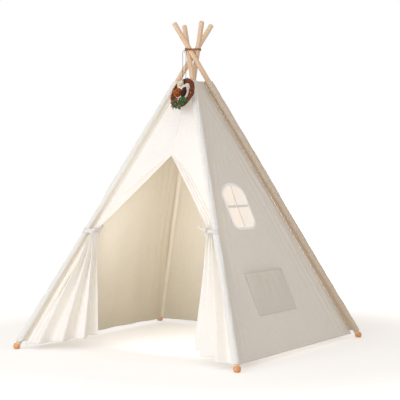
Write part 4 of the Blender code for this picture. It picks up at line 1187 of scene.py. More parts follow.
def draw_in(side, points):
    """Keeps points near the tie inside the gathered bundle, and clear of the channel."""
    tie_z = TIE_HEIGHT[side]
    heights = points[:, 2]
    middle = (tie_point(side) + seam_point(tie_z)) / 2
    half_shift = cover_half(heights) - cover_half(tie_z)
    middle = middle[None, :2] + np.stack([half_shift, -half_shift], axis=-1)
    beyond = np.maximum(0.0, np.abs(heights - tie_z) - STRAP_WIDTH / 2 - BUNDLE_COLLAR)
    allowed = BUNDLE_RADIUS - CURTAIN_CLOTH + BUNDLE_FLARE * beyond
    moved = points.copy()
    away = moved[:, :2] - middle
    distance = np.maximum(np.linalg.norm(away, axis=1), 1e-9)
    core = BUNDLE_CORE * allowed
    squeezed = allowed - (allowed - core) * np.exp(np.minimum(0.0, core - distance) / (allowed - core))
    shrink = np.where(distance > core, squeezed / distance, 1.0)
    moved[:, :2] = middle + away * shrink[:, None]
    corner = "front_" + side
    along = pole_direction(corner)
    foot = foot_point(corner)
    pole = np.stack([foot.x + along.x / along.z * heights, foot.y + along.y / along.z * heights], axis=-1)
    pole[:, 0] *= -1 if side == "left" else 1
    away = moved[:, :2] - pole
    distance = np.linalg.norm(away, axis=1)
    clear = SLEEVE_OUTER / along.z + CURTAIN_CLEARANCE
    reach = clear + CURTAIN_CUSHION
    push = np.where(distance < reach, (clear + CURTAIN_CUSHION * distance / reach) / distance - 1, 0.0)
    moved[:, :2] += away * push[:, None]
    return moved


def curtain_row(side, q, share):
    """One row of the curtain, from the corner seam to the free edge, and its cloth length."""
    tie_z = TIE_HEIGHT[side]
    seam_z = lerp(DOOR_APEX, tie_z, q) if q <= 1 else lerp(tie_z, HEM_HEIGHT, q - 1)
    start, end = seam_point(seam_z), free_edge_point(side, q)
    bow = HEM_BOW * float(smoothstep(q - 1))
    control = (start + end) / 2
    control[0] = lerp(control[0], lerp(start[0], end[0], HEM_BOW), bow)
    control[1] = lerp(control[1], start[1], bow)
    fine = np.linspace(0, 1, BASE_POINTS)[:, None]
    base = start * (1 - fine) ** 2 + control * 2 * fine * (1 - fine) + end * fine**2
    lengths = run_along(base)
    span = lengths[-1]
    cut_z = lerp(DOOR_APEX, HEM_HEIGHT, q / 2)
    cloth = max(math.hypot(cover_half(seam_z), (seam_z - cut_z) / RISE), span)
    gathered = float(smoothstep((q - GATHER_START) / GATHER_SPAN))
    band = FOLD_BAND_START + EDGE_BAND * float(smoothstep(q / EDGE_BAND_SHARE))
    band = min(lerp(band, span, gathered), span - FLAT_LEAST)
    beyond = max(0.0, abs(seam_z - tie_z) - STRAP_WIDTH / 2 - BUNDLE_COLLAR)
    limit = min(lerp(EDGE_FOLD, FOLD_LIMIT, gathered), BUNDLE_FOLD + BUNDLE_FLARE * beyond)
    height = min(fold_height(band, band + cloth - span, FOLD_COUNT), limit)
    flat_columns, fold_columns = CURTAIN_COLUMNS
    places = np.concatenate([
        np.linspace(0, span - band, flat_columns, endpoint=False),
        np.linspace(span - band, span, fold_columns),
    ])
    spots = [
        np.stack([np.interp(places + d, lengths, base[:, k]) for k in range(3)], axis=-1)
        for d in (-SLIDE, 0, SLIDE)
    ]
    run = (spots[2] - spots[0])[:, :2]
    run /= np.maximum(np.linalg.norm(run, axis=1, keepdims=True), 1e-9)
    outward = np.stack([run[:, 1], -run[:, 0], np.zeros(len(run))], axis=-1)
    outward[outward[:, 1] > 0] *= -1
    into = np.maximum(0.0, places - (span - band)) / max(band, 1e-9)
    drift = FOLD_DRIFT * share * np.sin(2 * math.pi * into * FOLD_DRIFT_TURNS)
    wave = np.sin(2 * math.pi * FOLD_COUNT * into + drift)
    swing = -height * smoothstep(into * FOLD_ONSET) * wave
    crease = CURTAIN_CREASE * share * ripples(into * CREASE_ACROSS, q * CREASE_DOWN, 300)
    return draw_in(side, spots[1] + outward * (swing + crease)[:, None])


def curtain_grid(side):
    plain, upper, lower = CURTAIN_ROWS
    collar = STRAP_WIDTH / 2 + BUNDLE_COLLAR
    above = 1 - collar / (DOOR_APEX - TIE_HEIGHT[side])
    below = 1 + collar / (TIE_HEIGHT[side] - HEM_HEIGHT)
    steps = np.concatenate([
        np.linspace(0, above, upper), [lerp(above, 1, 0.5), 1.0, lerp(1, below, 0.5)],
        np.linspace(below, 2, lower),
    ])
    apex_row = curtain_row(side, 0.0, 0.0)
    shares = apex_row[:, 0] / apex_row[0, 0]
    rows, cuts = [], []
    for height in np.linspace(COVER_TOP, DOOR_APEX, plain, endpoint=False):
        seam = seam_point(height)
        across = np.maximum(seam[0] * shares, GAP)
        away = np.minimum(seam[0] - across, PLAIN_REACH)
        down = COVER_TOP - height
        wave = PLAIN_WAVE * smoothstep(away / PLAIN_SIDE_START) * smoothstep(down / PLAIN_TOP_START)
        wave = wave * ripples(across / PLAIN_WIDTH, height / PLAIN_LENGTH, 310)
        sink = PLAIN_SINK * np.sin(math.pi * np.clip(shares, 0, 1)) * smoothstep(down / PLAIN_SINK_START)
        rows.append(np.stack([across, seam[1] - (wave - sink), np.full(len(across), height)], axis=-1))
        cuts.append(height)
    for q in steps:
        fade = float(smoothstep(q / CREASE_START))
        rows.append(curtain_row(side, float(q), fade))
        cuts.append(lerp(DOOR_APEX, HEM_HEIGHT, q / 2))
    grid = np.array(rows)
    if side == "left":
        grid[:, :, 0] *= -1
    return grid, np.array(cuts)


def add_curtain(side, look):
    grid, cuts = curtain_grid(side)
    run = np.array([run_along(row) for row in grid])
    v = np.repeat((cuts / RISE)[:, None], grid.shape[1], axis=1)
    to_edge = np.minimum(run, run[:, -1:] - run)
    to_hem = v - HEM_HEIGHT / RISE
    seam = pairs(np.minimum(to_edge, to_hem), np.where(to_hem <= to_edge, run, v))
    towards = np.zeros_like(grid)
    towards[: CURTAIN_ROWS[0]] = (0, -1, 0.4)
    curtain = cloth_piece(
        "door_curtain_" + side, grid, CURTAIN_SHEET, pairs(run, v), seam, towards, None, "cotton_canvas",
        look, middle=True,
    )
    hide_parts("front_%s_curtain" % side)
    return curtain


# The fold is an angle about the crossing


def blend_across(piece):
    """Works out each point's angle about the crossing, lays it in as the point's place for a moment, and puts
    each point back where it was.
    """
    mesh = piece.data
    rest = np.empty(len(mesh.vertices) * 3)
    mesh.vertices.foreach_get("co", rest)
    spots = rest.reshape(-1, 3)
    angle = np.arctan2(spots[:, 0], CROSSING_HEIGHT - spots[:, 2])
    spread = np.zeros_like(spots)
    spread[:, 0] = angle
    mesh.vertices.foreach_set("co", spread.ravel())
    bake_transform(piece)
    mesh.vertices.foreach_set("co", rest)
    mesh.update()


# Tie-backs

BAND_CLOTH = 0.0010
BAND_LONG, BAND_WIDE = 110, 13
BAND_ANGLES = (5, -265)
BAND_LIFT = 0.0010
BAND_TILT, BAND_PLEAT, BAND_PLEATS = 0.006, 0.0009, 8.0
PINCHED, PINCH_REACH = 0.62, 38     # the band's width at the knot as a share, and over how many degrees
KNOT_DEPTH = 0.0055
KNOT_SQUASH, KNOT_STEPS, KNOT_SIDES = 0.0046, 28, 14
KNOT_FLATNESS, KNOT_LEAST = 0.55, 0.62
KNOT_PLEAT, KNOT_PLEATS, KNOT_PLEAT_RUN = 0.10, 5, 400
# Each turn of the knot: its tilt, radius, thickness and lift out of the band
KNOT_TURNS = ((18, 0.0075, 0.0060, 0.0), (-62, 0.0062, 0.0052, 0.0016))
RIBBON_CLOTH = 0.0009
RIBBON_WIDTH = 0.010
RIBBON_COLUMNS = 7
RIBBON_ROLL, RIBBON_ROLL_RUN = 0.5, 3.0
RIBBON_CUP, RIBBON_CUP_RUN = 0.0016, 2.2
RIBBON_SEED = {"left": 0, "right": 2.3}


def tie_circles(side, height):
    sign = -1 if side == "left" else 1
    corner = "front_" + side
    pole = pole_at_height(corner, height)
    sleeve = SLEEVE_OUTER / pole_direction(corner).z + STRAP_SLACK
    middle = (tie_point(side) + seam_point(TIE_HEIGHT[side])) / 2
    middle = middle + seam_point(height) - seam_point(TIE_HEIGHT[side])
    return sign, [((pole.x, pole.y), sleeve), ((sign * middle[0], middle[1]), BUNDLE_RADIUS + STRAP_SLACK)]


def strap_point(side, height, angle):
    sign, circles = tie_circles(side, height)
    normal = Vector((sign * math.cos(angle), math.sin(angle), 0))
    place, radius = max(circles, key=lambda c: c[0][0] * normal.x + c[0][1] * normal.y + c[1])
    return Vector((*place, height)) + normal * radius, normal


def add_tie_strap(side, look):
    """A soft band pulled tight round the pole and the gathered cloth."""
    grid = np.zeros((BAND_LONG, BAND_WIDE, 3))
    for i in range(BAND_LONG):
        angle = math.radians(lerp(*BAND_ANGLES, i / (BAND_LONG - 1)))
        near_knot = math.exp(-((math.degrees(angle) - KNOT_TURN) / PINCH_REACH) ** 2)
        pinch = PINCHED + (1 - PINCHED) * (1 - near_knot)
        tilt = BAND_TILT * math.sin(angle * 1.2 + 0.5)
        for j in range(BAND_WIDE):
            share = 2 * j / (BAND_WIDE - 1) - 1
            height = TIE_HEIGHT[side] + share * STRAP_WIDTH / 2 * pinch + tilt * pinch
            point, normal = strap_point(side, height, angle)
            pleat = BAND_PLEAT * math.cos(share * BAND_PLEATS + 0.6 * math.sin(angle * 3))
            grid[i, j] = point + normal * (STRAP_THICKNESS + BAND_LIFT + pleat)
    run = run_along(grid[:, BAND_WIDE // 2])[:, None]
    across = (np.linspace(-0.5, 0.5, BAND_WIDE) * STRAP_WIDTH)[None, :]
    seam = pairs(STRAP_WIDTH / 2 - np.abs(across), run)
    band = cloth_piece(
        "tie_band_" + side, grid, BAND_CLOTH, pairs(run, across), seam, grid - grid.mean(axis=(0, 1)),
        side + "_side", "binding_cotton", look,
    )
    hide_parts("tie_strap_" + side)


def knot_frame(side):
    """At the knot's place on the band: Y out of it, Z up along it."""
    turn = math.radians(KNOT_TURN)
    point, normal = strap_point(side, TIE_HEIGHT[side], turn)
    high, low = (strap_point(side, TIE_HEIGHT[side] + sign * STRAP_WIDTH / 2, turn)[0] for sign in (1, -1))
    slope = (high - low).normalized()
    out = (normal - slope * normal.dot(slope)).normalized()
    centre = point + out * (STRAP_THICKNESS + 2 * GAP + KNOT_DEPTH)
    return Matrix.Translation(centre) @ Matrix((out.cross(slope), out, slope)).transposed().to_4x4()


def ribbon(points, widths, seed):
    """A soft flat ribbon through points in its own frame, rolled a little along its length."""
    path = smooth_path(points, 10)
    count = len(path)
    grid = np.zeros((count, RIBBON_COLUMNS, 3))
    for i, spot in enumerate(path):
        t = i / (count - 1)
        run = (path[min(i + 1, count - 1)] - path[max(i - 1, 0)]).normalized()
        side = run.cross(Vector((0, 1, 0))).normalized()
        out = side.cross(run).normalized()
        turn = RIBBON_ROLL * math.sin(RIBBON_ROLL_RUN * t + seed)
        side, out = side * math.cos(turn) + out * math.sin(turn), out * math.cos(turn) - side * math.sin(turn)
        width = np.interp(t, np.linspace(0, 1, len(widths)), widths)
        for j in range(RIBBON_COLUMNS):
            s = 2 * j / (RIBBON_COLUMNS - 1) - 1
            cup = RIBBON_CUP * (s * s - 0.5) * math.cos(RIBBON_CUP_RUN * t + seed)
            grid[i, j] = spot + side * (s * width / 2) + out * cup
    return grid


def add_tie_knot(side, look):
    """The knot: two turns of ribbon pulled over each other, with two loose ends."""
    place = knot_frame(side)
    parts = []
    for tilt, radius, wide, lift in KNOT_TURNS:
        turn = Matrix.Rotation(math.radians(tilt), 3, "Y")
        path = [
            turn @ Vector((radius * math.cos(a), KNOT_SQUASH * math.sin(a) + lift, 0))
            for a in angles(KNOT_STEPS)
        ]

        def oval(run, angle, wide=wide):
            squeeze = math.hypot(math.cos(angle) * KNOT_FLATNESS, math.sin(angle))
            pleat = KNOT_PLEAT * math.sin(KNOT_PLEATS * angle + run * KNOT_PLEAT_RUN)
            return wide * (KNOT_LEAST + (1 - KNOT_LEAST) * squeeze) * (1 + pleat)

        parts.append(tube_mesh(path, oval, sides=KNOT_SIDES, closed=True, up=Vector((0, 1, 0))))
    points, faces = moved(join(parts), place)
    mesh = mesh_of("tie_knot_turns_" + side, points, faces)
    for layer in ("cloth", "seam"):
        set_uv(mesh, layer, np.array([(p.x + p.y, p.z) for p in points]))
    knot = link("tie_knot_turns_" + side, mesh, side + "_side", "binding_cotton", look)
    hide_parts("tie_knot_" + side)
    for index, (points, widths) in enumerate(TAILS[side]):
        grid = ribbon(points, widths, index * 1.7 + RIBBON_SEED[side])
        grid = np.array([[tuple(place @ Vector(p)) for p in row] for row in grid])
        run = run_along(grid[:, RIBBON_COLUMNS // 2])[:, None]
        across = (np.linspace(-0.5, 0.5, RIBBON_COLUMNS) * RIBBON_WIDTH)[None, :]
        tail = cloth_piece(
            "tie_end_%s_%d" % (side, index + 1), grid, RIBBON_CLOTH, pairs(run, across),
            pairs(RIBBON_WIDTH / 2 - np.abs(across), run), place.to_3x3().col[1], side + "_side",
            "binding_cotton", look,
        )


# Each loose end in the knot's frame: its path across, out of and up the band, and its widths
TAILS = {
    "left": (
        (((0.000, 0.001, -0.002), (-0.003, 0.004, -0.012), (-0.004, 0.005, -0.026), (-0.006, 0.004, -0.046)),
         (0.006, 0.009, 0.010, 0.009)),
        (((0.002, 0.001, -0.002), (0.005, 0.004, -0.010), (0.008, 0.004, -0.019), (0.010, 0.003, -0.030)),
         (0.006, 0.009, 0.009, 0.008)),
    ),
    "right": (
        (((0.002, 0.001, 0.001), (0.010, 0.005, 0.007), (0.024, 0.009, 0.019), (0.038, 0.012, 0.036)),
         (0.006, 0.008, 0.007, 0.006)),
        (((0.000, 0.001, -0.002), (-0.001, 0.004, -0.010), (-0.002, 0.004, -0.020), (-0.001, 0.003, -0.032)),
         (0.006, 0.009, 0.009, 0.008)),
    ),
}


# Lashing, twine and wreath

LASHING_START = -0.75 * math.pi
LASHING_STEPS = 24
LASHING_LAY, KNOT_LAY, TWINE_LAY = 0.011, 0.009, 0.008
LASHING_BLEND = 0.025
LASHING_KNOT_ANGLE = 236
LASHING_KNOT_LIFT = 0.002
KNOT_WIDTH, KNOT_HEIGHT, KNOT_BULGE, KNOT_LOOPS = 0.0042, 0.0040, 0.0016, 0.9
LASHING_ENDS = (
    ((0.001, 0, -0.003), (0.004, 0.002, -0.011), (0.002, 0.001, -0.020)),
    ((-0.001, 0, -0.003), (-0.006, 0.002, -0.010), (-0.009, 0.001, -0.016)),
)


def bundle_support(angle, height, clearance):
    """The outermost point of the four poles at this height, in this direction."""
    normal = Vector((math.cos(angle), math.sin(angle), 0))
    best = None
    for corner in CORNERS:
        centre = pole_at_height(corner, height)
        along = pole_direction(corner)
        lean = Vector((along.x, along.y, 0)).normalized()
        across = Vector((-lean.y, lean.x, 0))
        a = POLE_RADIUS / along.z
        b = POLE_RADIUS
        n_lean, n_across = normal.dot(lean), normal.dot(across)
        size = math.hypot(a * n_lean, b * n_across)
        point = centre + lean * (a * a * n_lean / size) + across * (b * b * n_across / size)
        reach = point.dot(normal)
        if best is None or reach > best[0]:
            best = (reach, point + normal * clearance)
    return best[1]


def lashing_path(per_turn):
    clearance = GAP + LASHING_CORD / 2
    base = LASHING_HEIGHT - LASHING_TURNS * LASHING_PITCH / 2
    top = base + LASHING_TURNS * LASHING_PITCH
    path = []
    for step in range(LASHING_TURNS * per_turn + 1):
        height = base + LASHING_PITCH * step / per_turn
        angle = 2 * math.pi * step / per_turn + LASHING_START
        at_low = bundle_support(angle, base, clearance)
        at_high = bundle_support(angle, top, clearance)
        reach = at_low if at_low.xy.length > at_high.xy.length else at_high
        path.append(Vector((reach.x, reach.y, height)))
    return path


def add_lashing(look):
    """Three turns of cord, and the knot that closes them."""
    fine = smooth_path(lashing_path(LASHING_STEPS), 5)
    cord = twist(LASHING_CORD / 2 * 1.04, LASHING_LAY)
    mesh = mesh_of("lashing_turns", *tube_mesh(fine, cord, sides=12))
    turns = link("lashing_turns", mesh, None, "jute_twine", look)
    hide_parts("pole_lashing")
    start, end = (-LASHING_BLEND, 0, LASHING_HEIGHT), (LASHING_BLEND, 0, LASHING_HEIGHT)
    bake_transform(turns)
    clearance = GAP + LASHING_CORD + LASHING_KNOT_LIFT
    centre = Vector(bundle_support(math.radians(LASHING_KNOT_ANGLE), LASHING_HEIGHT, clearance))
    out = Vector((centre.x, centre.y, 0)).normalized()
    across = Vector((-out.y, out.x, 0))

    def knot_place(a, b, c):
        return centre + across * a + out * b + Vector((0, 0, c))

    knot = [
        knot_place(
            KNOT_WIDTH * (math.sin(t) + KNOT_LOOPS * math.sin(2 * t)), KNOT_BULGE * -math.sin(3 * t),
            KNOT_HEIGHT * (math.cos(t) - KNOT_LOOPS * math.cos(2 * t)),
        )
        for t in angles(60)
    ]
    parts = [tube_mesh(knot, twist(LASHING_CORD / 2, KNOT_LAY), sides=8, closed=True)]
    for end in LASHING_ENDS:
        path = smooth_path([knot_place(*spot) for spot in end], 8)
        parts.append(tube_mesh(path, twist(LASHING_CORD / 2 * 0.9, KNOT_LAY), sides=8))
    link("lashing_knot", mesh_of("lashing_knot", *join(parts)), "left_side", "jute_twine", look)


def add_twine(look):
    fine = smooth_path(smooth_path(TWINE_ROUTE, TWINE_STEPS), 4)
    mesh = mesh_of("hanging_twine", *tube_mesh(fine, twist(TWINE / 2 * 1.05, TWINE_LAY), sides=10))
    twine = link("hanging_twine", mesh, "twine", "jute_twine", look)
    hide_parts("wreath_twine")


def wreath_frame():
    """Origin at the ring's centre; X across, Y up the lean, Z out from the tent."""
    left = pole_at_height("front_left", WREATH_HEIGHT)
    right = pole_at_height("front_right", WREATH_HEIGHT)
    across = (right - left).normalized()
    up = (pole_direction("front_left") + pole_direction("front_right")).normalized()
    up = (up - across * up.dot(across)).normalized()
    out = across.cross(up)
    if out.y > 0:
        out = -out
        across = -across
    share = (WREATH_X - left.x) / (right.x - left.x)
    centre = left.lerp(right, share) + out * WREATH_STAND_OFF
    facing = Matrix((across, up, across.cross(up))).transposed().to_4x4()
    return Matrix.Translation(centre) @ facing @ Matrix.Rotation(-math.radians(WREATH_TURN), 4, "Y")


RING_RADIUS = (WREATH_DIAMETER - WREATH_TUBE) / 2
TWIG_COUNT, TWIG_STEPS = 26, 110
TWIG_MARGIN = 0.0018
TWIG_WANDER, TWIG_WAVE = 0.12, 0.0008
KNOB, KNOB_RUN, RIDGE, RIDGE_RUN = 0.18, 160, 0.10, 90
GOLDEN_ANGLE = math.radians(137.5)
# Along a scale: the place, its width and its height as shares
SCALE_OUTLINE = ((0, 0.35, 0.0), (0.35, 0.8, 0.35), (0.7, 1.0, 0.8), (0.9, 0.8, 1.0), (1.0, 0.35, 0.95))
SCALE_COLUMNS = (-1, -0.5, 0, 0.5, 1)
SCALE_HOLLOW = 0.18
CORE_SIDES, CORE_RINGS, CORE_SHARE = 12, 9, 0.66
# Each cone's length, width, scales, opening, scale size and seed
COPPER_CONE = (0.024, 0.046, 74, 0.95, 0.0105, 7)
DARK_CONE = (0.050, 0.027, 78, 0.85, 0.0085, 8)


def wreath_piece(name, parts, look, slot, *nodes):
    """Links a piece of the wreath, given in the wreath's frame, in place of these nodes."""
    made = link(name, mesh_of(name, *moved(parts, wreath_frame())), "wreath", slot, look)
    if nodes:
        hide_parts(*nodes)


def add_twig_ring(look):
    """Bent twigs that wind loosely round each other."""
    random = np.random.default_rng(41)
    parts = []
    for _ in range(TWIG_COUNT):
        turns = int(random.integers(2, 6)) * random.choice((-1, 1))
        phase = random.uniform(0, 2 * math.pi)
        depth = random.uniform(0.35, 1.0) * (WREATH_TUBE / 2 - TWIG_MARGIN)
        thick = random.uniform(0.0011, 0.0019)
        wobble = random.uniform(0, 2 * math.pi, 2)
        path = []
        for a in angles(TWIG_STEPS):
            b = turns * a + phase
            reach = depth * (1 + TWIG_WANDER * math.sin(3 * a + wobble[0]))
            r = RING_RADIUS + reach * math.cos(b)
            z = reach * math.sin(b) + TWIG_WAVE * math.sin(5 * a + wobble[1])
            path.append(Vector((r * math.cos(a), r * math.sin(a), z)))
        bumps = random.uniform(0, 6.28)

        def knobbly(run, angle, thick=thick, bumps=bumps):
            ridge = RIDGE * math.sin(2 * angle + run * RIDGE_RUN)
            return thick * (1 + KNOB * math.sin(run * KNOB_RUN + bumps) + ridge)

        parts.append(tube_mesh(path, knobbly, sides=6, closed=True))
    wreath_piece("wreath_twigs", join(parts), look, "twig", "wreath_ring")


def scale_shape(length, width, thick, lift):
    """One woody scale: a curved tongue that thickens to a blunt tip, along +X."""
    rows = len(SCALE_OUTLINE)
    points = []
    for layer in (0, 1):
        for r, (t, w, h) in enumerate(SCALE_OUTLINE):
            for s in SCALE_COLUMNS:
                z = lift * h - SCALE_HOLLOW * width * s * s * w
                z = z - layer * thick * (0.6 + 0.6 * r / (rows - 1))
                points.append((length * t, s * width / 2 * w, z))
    return points, layer_faces(rows, len(SCALE_COLUMNS))


def cone_parts(length, width, count, open_up, scale_size, seed):
    """Scales in a spiral round a core, base at -Z and tip at +Z."""
    random = np.random.default_rng(seed)
    core = []
    for k in range(CORE_RINGS):
        t = k / (CORE_RINGS - 1)
        r = CORE_SHARE * width / 2 * math.sin(math.pi * min(t * 0.9 + 0.06, 1) ** 0.8)
        z = length * (t - 0.5)
        core += [(r * math.cos(a), r * math.sin(a), z) for a in angles(CORE_SIDES)]
    parts = [(core, tube_faces(CORE_RINGS, CORE_SIDES))]
    for k in range(count):
        t = (k + 0.5) / count
        bulge = math.sin(math.pi * min(t * 0.92 + 0.05, 1) ** 0.8)
        size = scale_size * (0.55 + 0.6 * bulge)
        tilt = lerp(math.radians(-25), math.radians(80), t) * open_up
        reach = max(width / 2 * bulge - size * math.cos(tilt), 0.0005)
        place = (
            Matrix.Rotation(k * GOLDEN_ANGLE, 4, "Z")
            @ Matrix.Translation((reach, 0, length * (t - 0.5)))
            @ Matrix.Rotation(-tilt, 4, "Y")
            @ Matrix.Rotation(random.uniform(-0.15, 0.15), 4, "X")
        )
        parts.append(moved(scale_shape(size, size * 0.85, size * 0.22, size * 0.16), place))
    return join(parts)


COPPER_CONE_PLACE = (-0.010, -0.0088, 0.020)
DARK_CONE_PLACE = (0.0256, -0.0088, 0.0145)
FLOWER_PLACE = (-0.010, 0.036, 0.0105)
# Each ring of petals: how many, how long, how high it starts, how steep it stands
PETAL_RINGS = ((8, 0.0225, 0.0000, 12), (7, 0.0180, 0.0022, 32), (5, 0.0125, 0.0042, 56))
PETAL_ROWS, PETAL_COLUMNS = 8, 7
PETAL_THICKNESS = 0.0006
PETAL_SHAPE, PETAL_CURL, PETAL_CUP, PETAL_RIB = 0.78, 0.004, 0.0035, 0.0006
HEART_SEEDS, HEART_RADIUS, HEART_HEIGHT, SEED_RADIUS = 22, 0.0042, 0.0085, 0.0011


def add_cones(copper, dark):
    place = Matrix.Translation(COPPER_CONE_PLACE)
    parts = moved(cone_parts(*COPPER_CONE), place)
    wreath_piece("cone_open", parts, copper, "cone_copper", "wreath_cone_copper")
    place = Matrix.Translation(DARK_CONE_PLACE) @ Matrix.Rotation(math.radians(90), 4, "X")
    parts = moved(cone_parts(*DARK_CONE), place)
    wreath_piece("cone_closed", parts, dark, "cone_dark", "wreath_cone_dark")


def petal_shape(length):
    points = []
    for layer in (0, 1):
        for r in range(PETAL_ROWS):
            t = r / (PETAL_ROWS - 1)
            w = length * PETAL_SHAPE / 2 * math.sin(math.pi * (0.12 + 0.80 * t)) ** 0.7
            for c in range(PETAL_COLUMNS):
                s = 2 * c / (PETAL_COLUMNS - 1) - 1
                z = PETAL_CURL * t * t + PETAL_CUP * s * s * t - PETAL_RIB * math.cos(6 * s) * t
                points.append((length * t, s * w, z - layer * PETAL_THICKNESS))
    return points, layer_faces(PETAL_ROWS, PETAL_COLUMNS)


def add_flower(look, heart):
    """Three rings of shaved petals round a small heart."""
    parts = []
    for ring, (count, length, rise, tilt) in enumerate(PETAL_RINGS):
        for k in range(count):
            turn = 2 * math.pi * (k + 0.5 * (ring % 2)) / count + 0.1 * math.sin(k * 3.1)
            place = (
                Matrix.Translation((0, 0, rise)) @ Matrix.Rotation(turn, 4, "Z")
                @ Matrix.Rotation(-math.radians(tilt), 4, "Y")
            )
            parts.append(moved(petal_shape(length), place))
    place = Matrix.Translation(FLOWER_PLACE)
    wreath_piece("flower_petals", moved(join(parts), place), look, "petal", "wreath_flower")
    seeds = []
    for k in range(HEART_SEEDS):
        r = HEART_RADIUS * math.sqrt(k / HEART_SEEDS)
        a = k * GOLDEN_ANGLE
        seeds.append(ball((r * math.cos(a), r * math.sin(a), HEART_HEIGHT - r * 0.4), SEED_RADIUS, 8))
    wreath_piece("flower_heart", moved(join(seeds), place), heart, "petal")


def ball(centre, radius, sides, squash=1.0):
    """A turned ball with its poles along Z."""
    levels = sides // 2
    points, faces = [(0, 0, -radius * squash)], []
    for k in range(1, levels):
        b = math.pi * k / levels
        r, z = radius * math.sin(b), -radius * squash * math.cos(b)
        points += [(r * math.cos(a), r * math.sin(a), z) for a in angles(sides)]
    points.append((0, 0, radius * squash))
    last = len(points) - 1
    for s in range(sides):
        t = (s + 1) % sides
        faces.append((0, 1 + t, 1 + s))
        for k in range(levels - 2):
            a = 1 + k * sides
            faces.append((a + s, a + t, a + sides + t, a + sides + s))
        a = 1 + (levels - 2) * sides
        faces.append((a + s, a + t, last))
    return [Vector(p) + Vector(centre) for p in points], faces


# Each leaf's direction in degrees and its length
LEAVES = (
    (4, 0.062), (54, 0.030), (118, 0.0315), (174, 0.060), (232, 0.046), (306, 0.052),
    (338, 0.050), (205, 0.050), (270, 0.038), (28, 0.046), (150, 0.044),
)
SPRIG_CENTRE = (0.006, -0.056)
LEAF_ROWS, LEAF_COLUMNS = 26, 9
LEAF_STALK = 0.005
LEAF_SHEET = 0.0005
LEAF_SHAPE = 0.21
LEAF_LIFT, LEAF_STEP, UPPER_LEAVES, UPPER_LIFT = 0.0010, 0.0013, 5, 0.0012
SPINE_WAVE, MIDRIB, ARCH, DROOP, LEAF_RIPPLE = 0.0014, 0.0022, 0.004, 0.0045, 0.0005
# Along a leaf: the place and its width as shares
LEAF_TEETH = ((0.0, 0.10), (0.16, 0.42), (0.24, 0.40), (0.36, 0.98), (0.46, 0.66), (0.60, 1.0), (0.70, 0.62),
              (0.82, 0.72), (0.90, 0.34), (1.0, 0.02))


def add_leaves(look):
    """Holly leaves with spined edges, a sunk midrib and waves between the spines."""
    parts = []
    along = np.linspace(0, 1, LEAF_ROWS)
    for index, (turn, length) in enumerate(LEAVES):
        lift = WREATH_TUBE / 2 + LEAF_LIFT + LEAF_STEP * (index % 3)
        lift += UPPER_LIFT if index > UPPER_LEAVES else 0
        width = np.interp(along, *zip(*LEAF_TEETH)) * (length * LEAF_SHAPE)
        points = []
        for layer in (0, 1):
            for t, w in zip(along, width):
                for c in range(LEAF_COLUMNS):
                    s = 2 * c / (LEAF_COLUMNS - 1) - 1
                    phase = 0.4 if s > 0 else 0.0
                    spine = SPINE_WAVE * abs(s) * math.sin(2 * math.pi * t * 3.0 + phase)
                    z = MIDRIB * abs(s) + spine + ARCH * math.sin(math.pi * t) - DROOP * t * t
                    z += LEAF_RIPPLE * math.cos(18 * t) * abs(s)
                    points.append((LEAF_STALK + (length - LEAF_STALK) * t, s * w, z - LEAF_SHEET * layer))
        place = (
            Matrix.Translation((*SPRIG_CENTRE, lift)) @ Matrix.Rotation(math.radians(turn), 4, "Z")
            @ Matrix.Rotation(math.radians(6 * math.sin(index * 2.3)), 4, "X")
        )
        parts.append(moved((points, layer_faces(LEAF_ROWS, LEAF_COLUMNS)), place))
    wreath_piece("holly_leaves", join(parts), look, "holly_leaf", "wreath_leaves")


BERRY_DIAMETER = 0.010
BERRIES = (
    (-0.0238, -0.0529), (-0.0365, -0.0580), (-0.0143, -0.0820), (-0.0040, -0.0680),
    (-0.0040, -0.0470), (0.0090, -0.0540), (0.0300, -0.0500), (0.0310, -0.0810),
)
LEAF_THICKNESS = 0.0012
TIP_PLACE = (0.0012, 0.0010, -0.0003)
TIP_RADIUS = 0.0009


def add_berries(look, tip):
    radius = BERRY_DIAMETER / 2
    front = WREATH_TUBE / 2 + 2 * GAP + LEAF_THICKNESS + radius
    tips = []
    for index, (x, y) in enumerate(BERRIES):
        name = "%d" % (index + 1)
        wreath_piece("berry_skin_" + name, ball((x, y, front), radius, 22), look, "berry", "berry_" + name)
        tips.append(ball(Vector((x, y, front + radius)) + Vector(TIP_PLACE), TIP_RADIUS, 8, 0.5))
    wreath_piece("berry_tips", join(tips), tip, "berry")


# Room

FLOOR_SIZE = 24.0
FLOOR_PAINT = (0.86, 0.855, 0.85)
FLOOR_GLOW = (1.0, 0.985, 0.965)
FLOOR_LIFT = 0.35
FLOOR_FADE = (1.0, 2.6)      # the floor turns to pure white between these distances
WORLD_LIGHT = 0.60
WORLD_COLOUR = (1.0, 0.94, 0.88)
# Each lamp's name, place, aim, size, power and colour
LAMPS = (
    ("key", (-0.9, -5.9, 1.9), (0, 0, 0.6), 4.0, 148.0, (0.85, 0.90, 1.0)),
    ("fill", (2.6, -5.0, 0.8), (0, 0, 0.4), 2.0, 40.0, (1, 1, 1)),
    ("inside", (0, -0.38, 0.42), (0.08, 0.5, 0.36), 0.5, 1.75, (0.95, 0.94, 1.0)),
)


